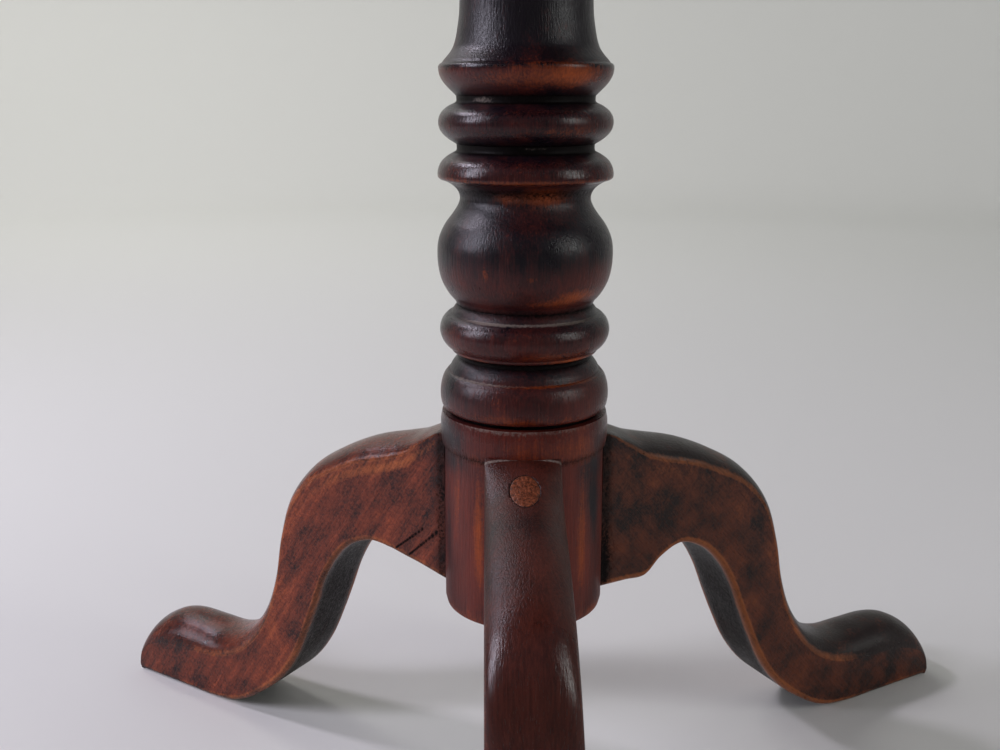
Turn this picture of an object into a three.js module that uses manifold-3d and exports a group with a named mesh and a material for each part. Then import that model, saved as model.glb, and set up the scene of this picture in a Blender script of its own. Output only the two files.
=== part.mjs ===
// Tilt-top tripod table: a round top of three boards on two bearers, a pivot block with turned
// pintles, a turned column and three cabriole legs dovetailed into its hub. A sprung brass catch
// locks the top down. Millimetres, +Z up, column axis on Z, floor at z = 0, front leg towards -Y.

import * as THREE from "three";
import { ParametricGeometry } from "three/addons/geometries/ParametricGeometry.js";
import { mergeVertices } from "three/addons/utils/BufferGeometryUtils.js";
import Module from "manifold-3d";

const wasm = await Module();
wasm.setup();

// ---- driving dimensions ----

const GAP = 0.3; // between pieces that touch
const TABLE_HEIGHT = 711;

const TOP_RADIUS = 330;
const TOP_THICK = 19;
const TOP_EDGE_ROUND = 8;
const TOP_BOARDS = ["front", "middle", "back"];

const HUB_RADIUS = 36.2;
const HUB_BELOW_LEG = 4.5; // the hub ends this far below the leg roots
const HUB_EDGE_ROUND = 3;
const COLLAR_PROUD = 1.1; // the collar stands out from the hub
const COLLAR_HEIGHT = 15.2;
const SHAFT_FOOT_RADIUS = 27.6;
const SHAFT_TOP_RADIUS = 22;
const NECK_RING_RADIUS = 26.5; // small ring under the block
const SHOULDER_RADIUS = 29;
const TENON_RADIUS = 17; // round tenon through the block
const WEDGE_THICK = 4;
const WEDGE_DEPTH = 24;

const LEG_THICK = 35.5;
const LEG_ROOT_LOW = 110;
const LEG_ROOT_HIGH = 188;
const LEG_ARRIS_ROUND = 3;
const DOVETAIL_DEPTH = 14;
const DOVETAIL_NECK = 13;
const DOVETAIL_WIDE = 19;
const LEG_SPOTS = [
  { name: "leg_front", azimuth: -89.5, reach: 234, bracket: true },
  { name: "leg_right", azimuth: 28.5, reach: 234, bracket: true },
  { name: "leg_left", azimuth: 148.5, reach: 222, bracket: false },
];

const PLUG_RADIUS = 6.2;
const PLUG_LENGTH = 8;
const PLUG_OUT = 20.3; // plug centre, out from the hub face
const PLUG_BELOW_ROOT = 8; // and below the top of the leg root
const PLUG_SLOPE = 20; // degrees that the plug and its screw fall inwards
const LEG_SCREW = { head: 5, shank: 2.5, length: 42 };

const BLOCK_LENGTH = 140; // along X, between the bearers
const BLOCK_DEPTH = 140; // along Y
const BLOCK_THICK = 32;
const PINTLE_RADIUS = 9;
const PINTLE_PLAY = 0.4;

const BEARER_WIDTH = 28;
const BEARER_DEEP = 34;
const BEARER_INSET = 45; // from the bearer's end corner to the rim of the top
const BEARER_TIP = 13; // depth left at the tapered ends
const BEARER_TAPER = 95; // length of each taper
const BEARER_PLAY = 1; // between block and bearer
const BEARER_SCREW = { head: 4.6, shank: 2.4, length: 33 };
const BEARER_END_SCREW = 20; // end screws, out from the start of the taper
const BEARER_JOINT_SCREW = 35; // inner screws, in from the joint of two boards
const BEARER_PINTLE_SCREW = 22; // and out from the pintle's bore
const BEARER_SCREW_POCKET = 12;

const CATCH_LENGTH = 58; // case, along Y
const CATCH_WIDTH = 24;
const CATCH_DEEP = 14;
const CATCH_WALL = 2;
const CATCH_BASE_THICK = 2;
const CATCH_EAR = 9; // base plate past the case, each side
const CATCH_STANDOFF = 3; // case to block
const CATCH_SCREW = { head: 3.4, shank: 1.7, length: 13 };
const BOLT_TRAVEL = 4.8;
const BOLT_NOSE_WIDTH = 10;
const BOLT_NOSE_DEEP = 7;
const BOLT_BODY_LENGTH = 24;
const BOLT_BODY_DEEP = 11;
const BOLT_PLAY = 0.5;
const BOLT_NOSE_CLEAR = 1.6; // withdrawn nose to block
const SPRING_ROD_RADIUS = 2.4;
const SPRING_WIRE_RADIUS = 0.55;
const SPRING_TURNS = 7;
const KNOB_RADIUS = 6.5;
const KNOB_HEIGHT = 12;
const KNOB_STEM_RADIUS = 2.5;

const KEEPER_LENGTH = 44; // along X
const KEEPER_HEIGHT = 15;
const KEEPER_THICK = 2;
const KEEPER_SLOT_PLAY = 0.5;
const KEEPER_MORTISE = 8;
const KEEPER_SCREW = { head: 3, shank: 1.5, length: 14 };

// ---- places that follow from the dimensions ----

const topUnderside = TABLE_HEIGHT - TOP_THICK;
const blockTop = topUnderside - GAP;
const blockBottom = blockTop - BLOCK_THICK;
const pintleZ = blockTop - BLOCK_THICK / 2;
const pintleY = BLOCK_DEPTH / 2 - BLOCK_THICK / 2;
const blockFront = -BLOCK_DEPTH / 2;
const bearerX = BLOCK_LENGTH / 2 + BEARER_PLAY + BEARER_WIDTH / 2;
const bearerTop = topUnderside - GAP;
const bearerHalf = Math.sqrt(TOP_RADIUS ** 2 - (bearerX + BEARER_WIDTH / 2) ** 2) - BEARER_INSET;
const boardWidth = (2 * TOP_RADIUS) / TOP_BOARDS.length;
const bearerScrewRows = [
  BEARER_TAPER - BEARER_END_SCREW - bearerHalf,
  BEARER_JOINT_SCREW - boardWidth / 2,
  pintleY + PINTLE_RADIUS + BEARER_PINTLE_SCREW,
  bearerHalf - BEARER_TAPER + BEARER_END_SCREW,
];

const hubBottom = LEG_ROOT_LOW - HUB_BELOW_LEG;
const hubTop = LEG_ROOT_HIGH - 4.4;
const collarRadius = HUB_RADIUS + COLLAR_PROUD;
const collarTop = hubTop + COLLAR_HEIGHT;
const shoulderZ = blockBottom - GAP;
const tenonTop = blockTop - 0.5;
const legHalf = LEG_THICK / 2;

const catchBaseTop = topUnderside - GAP;
const caseTop = catchBaseTop - CATCH_BASE_THICK - GAP;
const caseBottom = caseTop - CATCH_DEEP;
const caseFront = blockFront - CATCH_STANDOFF;
const caseBack = caseFront - CATCH_LENGTH;
const boltBottom = caseBottom + CATCH_WALL + BOLT_PLAY;
const boltNoseZ = boltBottom + 0.6 + BOLT_NOSE_DEEP / 2;
const boltBodyFront = caseFront - CATCH_WALL - BOLT_TRAVEL - 1;
const boltBodyBack = boltBodyFront - BOLT_BODY_LENGTH;
const boltTip = blockFront - BOLT_NOSE_CLEAR;
const knobY = boltBodyBack + BOLT_BODY_LENGTH / 2;
const springZ = boltBottom + BOLT_BODY_DEEP / 2;

// ---- materials ----

function finish(color, roughness, metalness) {
  return new THREE.MeshStandardMaterial({ color, roughness, metalness });
}

const darkWood = () => finish(0x3a1a14, 0.35, 0);
const redWood = () => finish(0x5c2a17, 0.4, 0);
const plugWood = () => finish(0x7a4528, 0.55, 0);
const plainWood = () => finish(0x6b4a30, 0.7, 0);
const brass = () => finish(0xb08d4a, 0.35, 1);
const iron = () => finish(0x4a4643, 0.6, 0.9);

// ---- solids ----

// A closed three.js geometry as a manifold-3d solid.
function solid(geometry) {
  const bare = new THREE.BufferGeometry();
  const loose = geometry.index ? geometry.toNonIndexed() : geometry;
  bare.setAttribute("position", loose.getAttribute("position"));
  const merged = mergeVertices(bare, 1e-4);
  const corners = merged.index.array;
  const kept = [];
  for (let i = 0; i < corners.length; i += 3) {
    const [a, b, c] = corners.slice(i, i + 3);
    if (a !== b && b !== c && c !== a) kept.push(a, b, c);
  }
  return new wasm.Manifold(
    new wasm.Mesh({
      numProp: 3,
      vertProperties: merged.attributes.position.array,
      triVerts: new Uint32Array(kept),
    }),
  );
}

function geometryOf(shape) {
  const mesh = shape.getMesh();
  const geometry = new THREE.BufferGeometry();
  geometry.setAttribute("position", new THREE.BufferAttribute(mesh.vertProperties, 3));
  geometry.setIndex(new THREE.BufferAttribute(mesh.triVerts, 1));
  const flat = geometry.toNonIndexed();
  flat.computeVertexNormals();
  return flat;
}

function piece(name, shape, material) {
  const mesh = new THREE.Mesh(geometryOf(shape), material);
  mesh.name = name;
  return mesh;
}

// A box between two corners.
function block(low, high) {
  const size = high.map((value, i) => value - low[i]);
  const geometry = new THREE.BoxGeometry(...size);
  geometry.translate(...low.map((value, i) => value + size[i] / 2));
  return solid(geometry);
}

// A turned solid about Z from [radius, height] points that start and end on the axis.
function turned(points, segments) {
  const geometry = new THREE.LatheGeometry(
    points.map(([radius, height]) => new THREE.Vector2(radius, height)),
    segments,
  );
  geometry.rotateX(Math.PI / 2);
  return solid(geometry);
}

function rod(radius, low, high, segments = 20) {
  return turned([[0, low], [radius, low], [radius, high], [0, high]], segments);
}

// A rod along X between two x values.
function rodAlongX(radius, low, high, y, z, segments = 28) {
  return rod(radius, low, high, segments).rotate([0, 90, 0]).translate([0, y, z]);
}

// An outline of [y, z] points carried along X between two x values.
function barAlongX(outline, low, high) {
  const shape = new THREE.Shape(outline.map(([y, z]) => new THREE.Vector2(y, z)));
  const geometry = new THREE.ExtrudeGeometry(shape, { depth: high - low, bevelEnabled: false });
  geometry.rotateX(Math.PI / 2);
  geometry.rotateZ(Math.PI / 2);
  geometry.translate(low, 0, 0);
  return solid(geometry);
}

// A slotted countersunk wood screw: head at z = 0 facing -Z, point towards +Z.
function screw({ head, shank, length }) {
  const cone = head - shank;
  const body = turned(
    [[0, 0], [head, 0], [head, 0.5], [shank, 0.5 + cone], [shank, length - 3 * shank], [0, length]],
    10,
  );
  const slot = block([-head - 1, -0.5, -1], [head + 1, 0.5, head / 3]);
  return body.subtract(slot);
}

// The hole that a screw needs: a pocket for its head and a way for its shank, with clearance.
function screwHole({ head, shank, length }, pocket = 0) {
  const wide = head + GAP;
  const narrow = shank + GAP;
  const seat = 0.5 + head - shank + GAP;
  const end = length + GAP;
  const mouth = -pocket - 1;
  return turned(
    [[0, mouth], [wide, mouth], [wide, 0.5 + GAP], [narrow, seat], [narrow, end], [0, end]],
    10,
  );
}

// Quarter-round from one [radius, height] to another, upright where it reaches `at` = "end".
function bulge(from, to, upright, steps = 3) {
  const points = [];
  for (let i = 1; i <= steps; i++) {
    const turn = (i / steps) * (Math.PI / 2);
    const across = upright === "end" ? Math.sin(turn) : 1 - Math.cos(turn);
    const along = upright === "end" ? 1 - Math.cos(turn) : Math.sin(turn);
    points.push([from[0] + (to[0] - from[0]) * across, from[1] + (to[1] - from[1]) * along]);
  }
  return points;
}

// ---- column ----

// Each turned swelling: [radius, height above the collar] at its foot, widest point and top.
const SWELLINGS = [
  { foot: [36.7, 2.6], wide: [37.6, 8.2], top: [33.6, 18.4] }, // ogee-topped ring over the collar
  { foot: [32.4, 29], wide: [37.5, 37.3], top: [31, 46.9] }, // ring under the ball
  { foot: [30, 50], wide: [38.2, 70.1], top: [28.6, 92] }, // ball
  { foot: [37, 103.2], wide: [37.7, 104.6], top: [30.6, 113.8] }, // sharp-edged ring over the cove
  { foot: [30.2, 117.6], wide: [37.1, 125.7], top: [31, 133.8] }, // middle ring
  { foot: [30, 137.4], wide: [36.8, 147.5], top: [35.2, 150.2] }, // ring at the foot of the shaft
];
const COLLAR_UNDERCUT = 33;
const FILLET_RADIUS = 29.4;
const SHAFT_FLARE = 22; // height of the hollow curve from the last ring to the shaft

function columnProfile() {
  const at = (radius, height) => [radius, collarTop + height];
  const ring = ({ foot, wide, top }) => [
    at(...foot),
    ...bulge(at(...foot), at(...wide), "end", 3),
    ...bulge(at(...wide), at(...top), "start"),
  ];
  const [overCollar, underBall, ball, overCove, middle, shaftRing] = SWELLINGS.map(ring);
  const flareFoot = shaftRing.at(-1);
  const flareTop = [SHAFT_FOOT_RADIUS, flareFoot[1] + SHAFT_FLARE];
  return [
    [0, hubBottom],
    [HUB_RADIUS - HUB_EDGE_ROUND, hubBottom],
    [HUB_RADIUS, hubBottom + HUB_EDGE_ROUND],
    [HUB_RADIUS, hubTop],
    [collarRadius, hubTop],
    [collarRadius, collarTop],
    [COLLAR_UNDERCUT, collarTop],
    at(COLLAR_UNDERCUT, 2.4),
    ...overCollar,
    at(32.7, 20.8),
    at(29.2, 25),
    at(32.2, 27.7),
    ...underBall,
    at(29.7, 49.4),
    ...ball,
    at(28.3, 94.1),
    at(29.4, 97.9),
    at(32, 100.5),
    ...overCove,
    at(FILLET_RADIUS, 114),
    at(FILLET_RADIUS, 117.4),
    ...middle,
    at(FILLET_RADIUS, 134.2),
    at(FILLET_RADIUS, 137),
    ...shaftRing,
    ...bulge(flareFoot, flareTop, "end", 4),
    [SHAFT_TOP_RADIUS, shoulderZ - 38],
    ...bulge([SHAFT_TOP_RADIUS, shoulderZ - 36], [NECK_RING_RADIUS, shoulderZ - 31], "end", 3),
    ...bulge([NECK_RING_RADIUS, shoulderZ - 31], [SHAFT_TOP_RADIUS + 1, shoulderZ - 26], "start", 3),
    ...bulge([SHAFT_TOP_RADIUS + 1, shoulderZ - 25], [SHOULDER_RADIUS, shoulderZ - 6], "start", 4),
    [SHOULDER_RADIUS, shoulderZ],
    [TENON_RADIUS, shoulderZ],
    [TENON_RADIUS, tenonTop],
    [0, tenonTop],
  ];
}

// A dovetail key: its neck at the hub face, its wide end inside, from the hub bottom upwards.
function dovetail(clearance, low, high) {
  const inner = HUB_RADIUS - DOVETAIL_DEPTH - clearance;
  const outer = HUB_RADIUS + 2;
  const flare = (DOVETAIL_WIDE - DOVETAIL_NECK) / 2;
  const neck = DOVETAIL_NECK / 2 + clearance;
  const wide = neck + (flare * (outer - inner)) / (DOVETAIL_DEPTH + 2);
  const shape = new THREE.Shape();
  shape.moveTo(inner, -wide);
  shape.lineTo(outer, -neck);
  shape.lineTo(outer, neck);
  shape.lineTo(inner, wide);
  shape.closePath();
  const geometry = new THREE.ExtrudeGeometry(shape, { depth: high - low, bevelEnabled: false });
  geometry.translate(0, 0, low);
  return solid(geometry);
}

const dovetailTop = hubTop - 8;

// The wedge that spreads the column's tenon, thick edge up.
function wedgeSolid(clearance) {
  const thick = WEDGE_THICK / 2 + clearance;
  const thin = WEDGE_THICK / 5 + clearance;
  const low = tenonTop - WEDGE_DEPTH - clearance;
  const high = tenonTop + (clearance ? 1 : 0);
  const outline = [[-thin, low], [thin, low], [thick, high], [-thick, high]];
  return barAlongX(outline, -TENON_RADIUS - 2, TENON_RADIUS + 2);
}

function makeColumn() {
  let column = turned(columnProfile(), 32);
  for (const { azimuth } of LEG_SPOTS) {
    const housing = dovetail(GAP, hubBottom - 1, dovetailTop + GAP);
    column = column.subtract(housing.rotate([0, 0, azimuth]));
  }
  const frontTurn = [0, 0, LEG_SPOTS[0].azimuth];
  column = column.subtract(placeInLeg(screwHole(LEG_SCREW)).rotate(frontTurn));
  column = column.subtract(wedgeSolid(GAP));
  return piece("column", column, darkWood());
}

function makeWedge() {
  const wedge = wedgeSolid(0).intersect(rod(TENON_RADIUS - 0.4, shoulderZ, tenonTop, 40));
  return piece("tenon_wedge", wedge, plainWood());
}

// ---- legs ----

// Cross-sections from root to toe, for a leg that reaches LEG_PATTERN_REACH from the hub face.
// top and low are [out from the hub face, height] of the upper and lower arrises; crown is the
// rise of the top surface between its arrises; plain is the low height with no bracket.
const LEG_PATTERN_REACH = 234;
const LEG_SECTIONS = [
  { top: [-12, 188], low: [-12, 110], plain: 111, crown: 1 },
  { top: [0, 185], low: [0, 110], plain: 114, crown: 2 },
  { top: [10, 178.5], low: [11, 110], plain: 117, crown: 5.5 },
  { top: [21, 171.5], low: [22, 110], plain: 119.5, crown: 8 },
  { top: [32, 167.5], low: [31, 117.5], plain: 121.5, crown: 9 },
  { top: [50, 162.5], low: [43.5, 122.5], plain: 122.5, crown: 9 },
  { top: [68, 154.5], low: [58, 117], crown: 9 },
  { top: [84, 145], low: [68, 107.5], crown: 8.5 },
  { top: [97, 130], low: [77, 93.5], crown: 8 },
  { top: [105, 108.5], low: [85, 75], crown: 7.5 },
  { top: [110, 86], low: [91.5, 60.5], crown: 7.5 },
  { top: [117.5, 66], low: [101, 42], crown: 8 },
  { top: [129, 48], low: [113, 26.5], crown: 9 },
  { top: [143, 35.5], low: [129, 13.5], crown: 10.5 },
  { top: [160, 28], low: [148, 3], crown: 12.5 },
  { top: [178, 25.5], low: [168, 0], crown: 15 },
  { top: [197, 24.5], low: [189, 0], crown: 15.5 },
  { top: [212, 22], low: [208, 0], crown: 13.5 },
  { top: [223, 17.5], low: [219.5, 0], crown: 10.5 },
  { top: [229.5, 10.5], low: [227, 0], crown: 6.5 },
  { top: [231.5, 3.5], low: [230, 0], crown: 1.5 },
];
const LEG_STEPS = 40;
const CROWN_STEPS = 6;
const CROWN_POWER = 0.7; // 1 is a parabola, 0.5 a half ellipse

function legSolid(reach, bracket) {
  const stretch = reach / LEG_PATTERN_REACH;
  const upper = LEG_SECTIONS.map(({ top, crown }) => {
    return new THREE.Vector3(HUB_RADIUS + top[0] * stretch, crown, top[1]);
  });
  const lower = LEG_SECTIONS.map(({ low, plain }) => {
    const height = bracket || plain === undefined ? low[1] : plain;
    return new THREE.Vector3(HUB_RADIUS + low[0] * stretch, 0, height);
  });
  const upperCurve = new THREE.CatmullRomCurve3(upper, false, "centripetal");
  const lowerCurve = new THREE.CatmullRomCurve3(lower, false, "centripetal");
  const around = CROWN_STEPS + 5;

  // v runs over the crown from one arris to the other, then back under the leg.
  function surface(u, v, target) {
    const ring = Math.round(u * (LEG_STEPS + 2)) - 1;
    const along = Math.min(Math.max(ring / LEG_STEPS, 0), 1);
    const capped = ring < 0 || ring > LEG_STEPS;
    const top = upperCurve.getPoint(along);
    const low = lowerCurve.getPoint(along);
    const crown = top.y;
    top.y = 0;
    const rise = top.clone().sub(low);
    const up = rise.clone().normalize();
    const round = Math.min(LEG_ARRIS_ROUND, rise.length() / 3);
    const corner = Math.round(v * around) % around;
    const under = [[1, round], [1 - round / legHalf, 0], [round / legHalf - 1, 0], [-1, round]];
    if (capped) {
      target.copy(low).addScaledVector(rise, 0.5);
    } else if (corner <= CROWN_STEPS) {
      const side = (2 * corner) / CROWN_STEPS - 1;
      target.copy(top).addScaledVector(up, crown * (1 - side * side) ** CROWN_POWER);
      target.y = side * legHalf;
    } else {
      const [side, lift] = under[corner - CROWN_STEPS - 1];
      target.copy(low).addScaledVector(up, lift);
      target.y = side * legHalf;
    }
    target.z = Math.max(target.z, 0);
  }
  return solid(new ParametricGeometry(surface, LEG_STEPS + 2, around));
}

// Puts something made about Z with its mouth down onto the sloping line of plug and screw.
function placeInLeg(shape) {
  const mouth = [HUB_RADIUS + PLUG_OUT, 0, LEG_ROOT_HIGH - PLUG_BELOW_ROOT];
  const inset = PLUG_LENGTH + 1;
  return shape.translate([0, 0, inset]).rotate([0, -90 - PLUG_SLOPE, 0]).translate(mouth);
}

function plugRod(clearance) {
  const inset = PLUG_LENGTH + 1;
  return placeInLeg(rod(PLUG_RADIUS + clearance, -inset - 12, -1 + clearance, 24));
}

function makeLeg({ name, azimuth, reach, bracket }) {
  let leg = legSolid(reach, bracket);
  leg = leg.subtract(rod(HUB_RADIUS + GAP, 0, hubTop, 32));
  leg = leg.subtract(rod(collarRadius + GAP, hubTop - GAP, collarTop + 20, 32));
  leg = leg.add(dovetail(0, hubBottom + GAP, dovetailTop));
  if (name === "leg_front") {
    leg = leg.subtract(plugRod(GAP));
    leg = leg.subtract(placeInLeg(screwHole(LEG_SCREW, 2)));
  }
  const mesh = piece(name, leg, redWood());
  mesh.rotation.z = THREE.MathUtils.degToRad(azimuth);
  return mesh;
}

function makePlugAndScrew() {
  const { azimuth, reach, bracket } = LEG_SPOTS[0];
  const plug = piece("leg_plug", plugRod(0).intersect(legSolid(reach, bracket)), plugWood());
  const wood = piece("leg_screw", placeInLeg(screw(LEG_SCREW)), iron());
  for (const mesh of [plug, wood]) mesh.rotation.z = THREE.MathUtils.degToRad(azimuth);
  return [plug, wood];
}

// ---- pivot block and keeper ----

const keeperTop = blockTop - 1;
const keeperBottom = keeperTop - KEEPER_HEIGHT;
const keeperScrewX = KEEPER_LENGTH / 2 - 6;
const keeperZ = (keeperTop + keeperBottom) / 2;
const slotHalf = BOLT_NOSE_WIDTH / 2 + KEEPER_SLOT_PLAY;
const slotLow = boltNoseZ - BOLT_NOSE_DEEP / 2 - KEEPER_SLOT_PLAY;
const slotHigh = boltNoseZ + BOLT_NOSE_DEEP / 2 + KEEPER_SLOT_PLAY;

// Turns something made about Z so that its +Z end points along +Y, at the block's front face.
function intoBlockFront(shape, x) {
  return shape.rotate([-90, 0, 0]).translate([x, blockFront, keeperZ]);
}

function makePivotBlock() {
  const back = BLOCK_DEPTH / 2;
  const radius = BLOCK_THICK / 2;
  const outline = [[blockFront, blockBottom + 5], [blockFront + 5, blockBottom], [back, blockBottom]];
  for (let i = 0; i <= 8; i++) {
    const turn = (i / 8) * (Math.PI / 2);
    outline.push([pintleY + radius * Math.cos(turn), pintleZ + radius * Math.sin(turn)]);
  }
  outline.push([blockFront, blockTop]);
  let shape = barAlongX(outline, -BLOCK_LENGTH / 2, BLOCK_LENGTH / 2);
  const pintleEnd = bearerX + BEARER_WIDTH / 2 - 1;
  shape = shape.add(rodAlongX(PINTLE_RADIUS, -pintleEnd, pintleEnd, pintleY, pintleZ));
  shape = shape.subtract(rod(TENON_RADIUS + GAP, blockBottom - 1, blockTop + 1, 40));
  const recess = block(
    [-KEEPER_LENGTH / 2 - GAP, blockFront - 1, keeperBottom - GAP],
    [KEEPER_LENGTH / 2 + GAP, blockFront + KEEPER_THICK + GAP, blockTop + 1],
  );
  const mortise = block(
    [-slotHalf, blockFront - 1, slotLow],
    [slotHalf, blockFront + KEEPER_MORTISE, slotHigh],
  );
  shape = shape.subtract(recess).subtract(mortise);
  for (const x of [-keeperScrewX, keeperScrewX]) {
    shape = shape.subtract(intoBlockFront(screwHole(KEEPER_SCREW), x));
  }
  return piece("pivot_block", shape, plainWood());
}

function makeKeeper() {
  let plate = block(
    [-KEEPER_LENGTH / 2, blockFront, keeperBottom],
    [KEEPER_LENGTH / 2, blockFront + KEEPER_THICK, keeperTop],
  );
  plate = plate.subtract(
    block([-slotHalf, blockFront - 1, slotLow], [slotHalf, blockFront + KEEPER_THICK + 1, slotHigh]),
  );
  const screws = [-keeperScrewX, keeperScrewX].map((x, i) => {
    plate = plate.subtract(intoBlockFront(screwHole(KEEPER_SCREW), x));
    return piece(`keeper_screw_${i + 1}`, intoBlockFront(screw(KEEPER_SCREW), x), brass());
  });
  return [piece("keeper_plate", plate, brass()), ...screws];
}

// ---- top ----

// Screw places under the top: the bearers' screws stand in pockets, the catch's on its plate.
const bearerScrewZ = bearerTop - BEARER_DEEP + BEARER_SCREW_POCKET;
const bearerScrewSpots = [-bearerX, bearerX].flatMap((x) => bearerScrewRows.map((y) => [x, y]));
const catchScrewX = CATCH_WIDTH / 2 + CATCH_EAR / 2;
const catchScrewZ = catchBaseTop - CATCH_BASE_THICK;
const catchScrewRows = [caseFront - 9, caseBack + 9];
const catchScrewSpots = [-catchScrewX, catchScrewX].flatMap((x) => catchScrewRows.map((y) => [x, y]));

function makeTopBoards() {
  const edge = TOP_RADIUS - TOP_EDGE_ROUND;
  const middle = topUnderside + TOP_THICK / 2;
  const disc = turned(
    [
      [0, topUnderside],
      [edge, topUnderside],
      ...bulge([edge, topUnderside], [TOP_RADIUS, middle], "end"),
      ...bulge([TOP_RADIUS, middle], [edge, TABLE_HEIGHT], "start"),
      [0, TABLE_HEIGHT],
    ],
    80,
  );
  const holes = [
    ...bearerScrewSpots.map(([x, y]) => screwHole(BEARER_SCREW).translate([x, y, bearerScrewZ])),
    ...catchScrewSpots.map(([x, y]) => screwHole(CATCH_SCREW).translate([x, y, catchScrewZ])),
  ];
  return TOP_BOARDS.map((name, i) => {
    const low = -TOP_RADIUS + i * boardWidth;
    const far = TOP_RADIUS + 1;
    const strip = block(
      [-far, low + (i ? GAP / 2 : -1), topUnderside - 1],
      [far, low + boardWidth - (i < TOP_BOARDS.length - 1 ? GAP / 2 : -1), TABLE_HEIGHT + 1],
    );
    let board = disc.intersect(strip);
    for (const hole of holes) board = board.subtract(hole);
    return piece(`top_board_${name}`, board, redWood());
  });
}

function makeBearer(name, x) {
  const half = bearerHalf;
  const low = bearerTop - BEARER_DEEP;
  const tip = bearerTop - BEARER_TIP;
  const flat = half - BEARER_TAPER;
  const outline = [[-half, bearerTop], [-half, tip]];
  const sweep = (from, to) => {
    for (let i = 1; i <= 5; i++) {
      const share = i / 5;
      const ease = (1 - Math.cos(Math.PI * share)) / 2;
      outline.push([from[0] + (to[0] - from[0]) * share, from[1] + (to[1] - from[1]) * ease]);
    }
  };
  sweep([-half, tip], [-flat, low]);
  outline.push([flat, low]);
  sweep([flat, low], [half, tip]);
  outline.push([half, bearerTop]);
  const side = BEARER_WIDTH / 2;
  let bearer = barAlongX(outline, x - side, x + side);
  const hole = rodAlongX(PINTLE_RADIUS + PINTLE_PLAY, x - side - 1, x + side + 1, pintleY, pintleZ);
  bearer = bearer.subtract(hole);
  for (const y of bearerScrewRows) {
    const pocket = screwHole(BEARER_SCREW, BEARER_SCREW_POCKET).translate([x, y, bearerScrewZ]);
    bearer = bearer.subtract(pocket);
  }
  return piece(name, bearer, redWood());
}

function makeBearerScrews() {
  return bearerScrewSpots.map(([x, y], i) => {
    const shape = screw(BEARER_SCREW).translate([x, y, bearerScrewZ]);
    return piece(`bearer_screw_${i + 1}`, shape, iron());
  });
}

// ---- catch ----

function makeCatchBase() {
  const half = CATCH_WIDTH / 2 + CATCH_EAR;
  let plate = block(
    [-half, caseBack, catchBaseTop - CATCH_BASE_THICK],
    [half, caseFront, catchBaseTop],
  );
  for (const [x, y] of catchScrewSpots) {
    plate = plate.subtract(screwHole(CATCH_SCREW).translate([x, y, catchScrewZ]));
  }
  const screws = catchScrewSpots.map(([x, y], i) => {
    const shape = screw(CATCH_SCREW).translate([x, y, catchScrewZ]);
    return piece(`catch_screw_${i + 1}`, shape, brass());
  });
  return [piece("catch_base", plate, brass()), ...screws];
}

function makeCatchCase() {
  const half = CATCH_WIDTH / 2;
  const inside = half - CATCH_WALL;
  const outer = block([-half, caseBack, caseBottom], [half, caseFront, caseTop]);
  const hollow = block(
    [-inside, caseBack + CATCH_WALL, caseBottom + CATCH_WALL],
    [inside, caseFront - CATCH_WALL, caseTop + 1],
  );
  const noseHalf = BOLT_NOSE_WIDTH / 2 + BOLT_PLAY;
  const noseWay = block(
    [-noseHalf, caseFront - CATCH_WALL - 1, boltNoseZ - BOLT_NOSE_DEEP / 2 - BOLT_PLAY],
    [noseHalf, caseFront + 1, boltNoseZ + BOLT_NOSE_DEEP / 2 + BOLT_PLAY],
  );
  const stemHalf = KNOB_STEM_RADIUS + BOLT_PLAY;
  const knobWay = block(
    [-stemHalf, knobY - stemHalf, caseBottom - 1],
    [stemHalf, knobY + BOLT_TRAVEL + stemHalf, caseBottom + CATCH_WALL + 1],
  );
  const shell = outer.subtract(hollow).subtract(noseWay).subtract(knobWay);
  return piece("catch_case", shell, brass());
}

function makeCatchBolt() {
  const bodyHalf = CATCH_WIDTH / 2 - CATCH_WALL - BOLT_PLAY;
  const body = block(
    [-bodyHalf, boltBodyBack, boltBottom],
    [bodyHalf, boltBodyFront, boltBottom + BOLT_BODY_DEEP],
  );
  const noseLow = boltNoseZ - BOLT_NOSE_DEEP / 2;
  const noseHigh = boltNoseZ + BOLT_NOSE_DEEP / 2;
  const nose = barAlongX(
    [
      [boltBodyFront - 1, noseLow],
      [boltTip - 5, noseLow],
      [boltTip, noseHigh - 2.5],
      [boltTip, noseHigh],
      [boltBodyFront - 1, noseHigh],
    ],
    -BOLT_NOSE_WIDTH / 2,
    BOLT_NOSE_WIDTH / 2,
  );
  const rodBack = caseBack + CATCH_WALL + 1;
  const guide = rod(SPRING_ROD_RADIUS, rodBack - boltBodyBack, 1, 16)
    .rotate([-90, 0, 0])
    .translate([0, boltBodyBack, springZ]);
  const stemHole = rod(KNOB_STEM_RADIUS + GAP, boltBottom - 1, boltBottom + 7, 16);
  const bolt = body.add(nose).add(guide).subtract(stemHole.translate([0, knobY, 0]));
  return piece("catch_bolt", bolt, brass());
}

function makeKnob() {
  const face = caseBottom - 1;
  const low = face - KNOB_HEIGHT;
  const waist = KNOB_RADIUS * 0.6;
  const knob = turned(
    [
      [0, low],
      [KNOB_RADIUS * 0.7, low],
      [KNOB_RADIUS, low + 1.5],
      [KNOB_RADIUS, low + 3.5],
      [waist, low + 6],
      [waist, low + 8],
      [KNOB_RADIUS * 0.8, face - 1.5],
      [KNOB_RADIUS * 0.8, face],
      [KNOB_STEM_RADIUS, face],
      [KNOB_STEM_RADIUS, boltBottom + 6.5],
      [0, boltBottom + 6.5],
    ],
    20,
  );
  return piece("catch_knob", knob.translate([0, knobY, 0]), brass());
}

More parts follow.
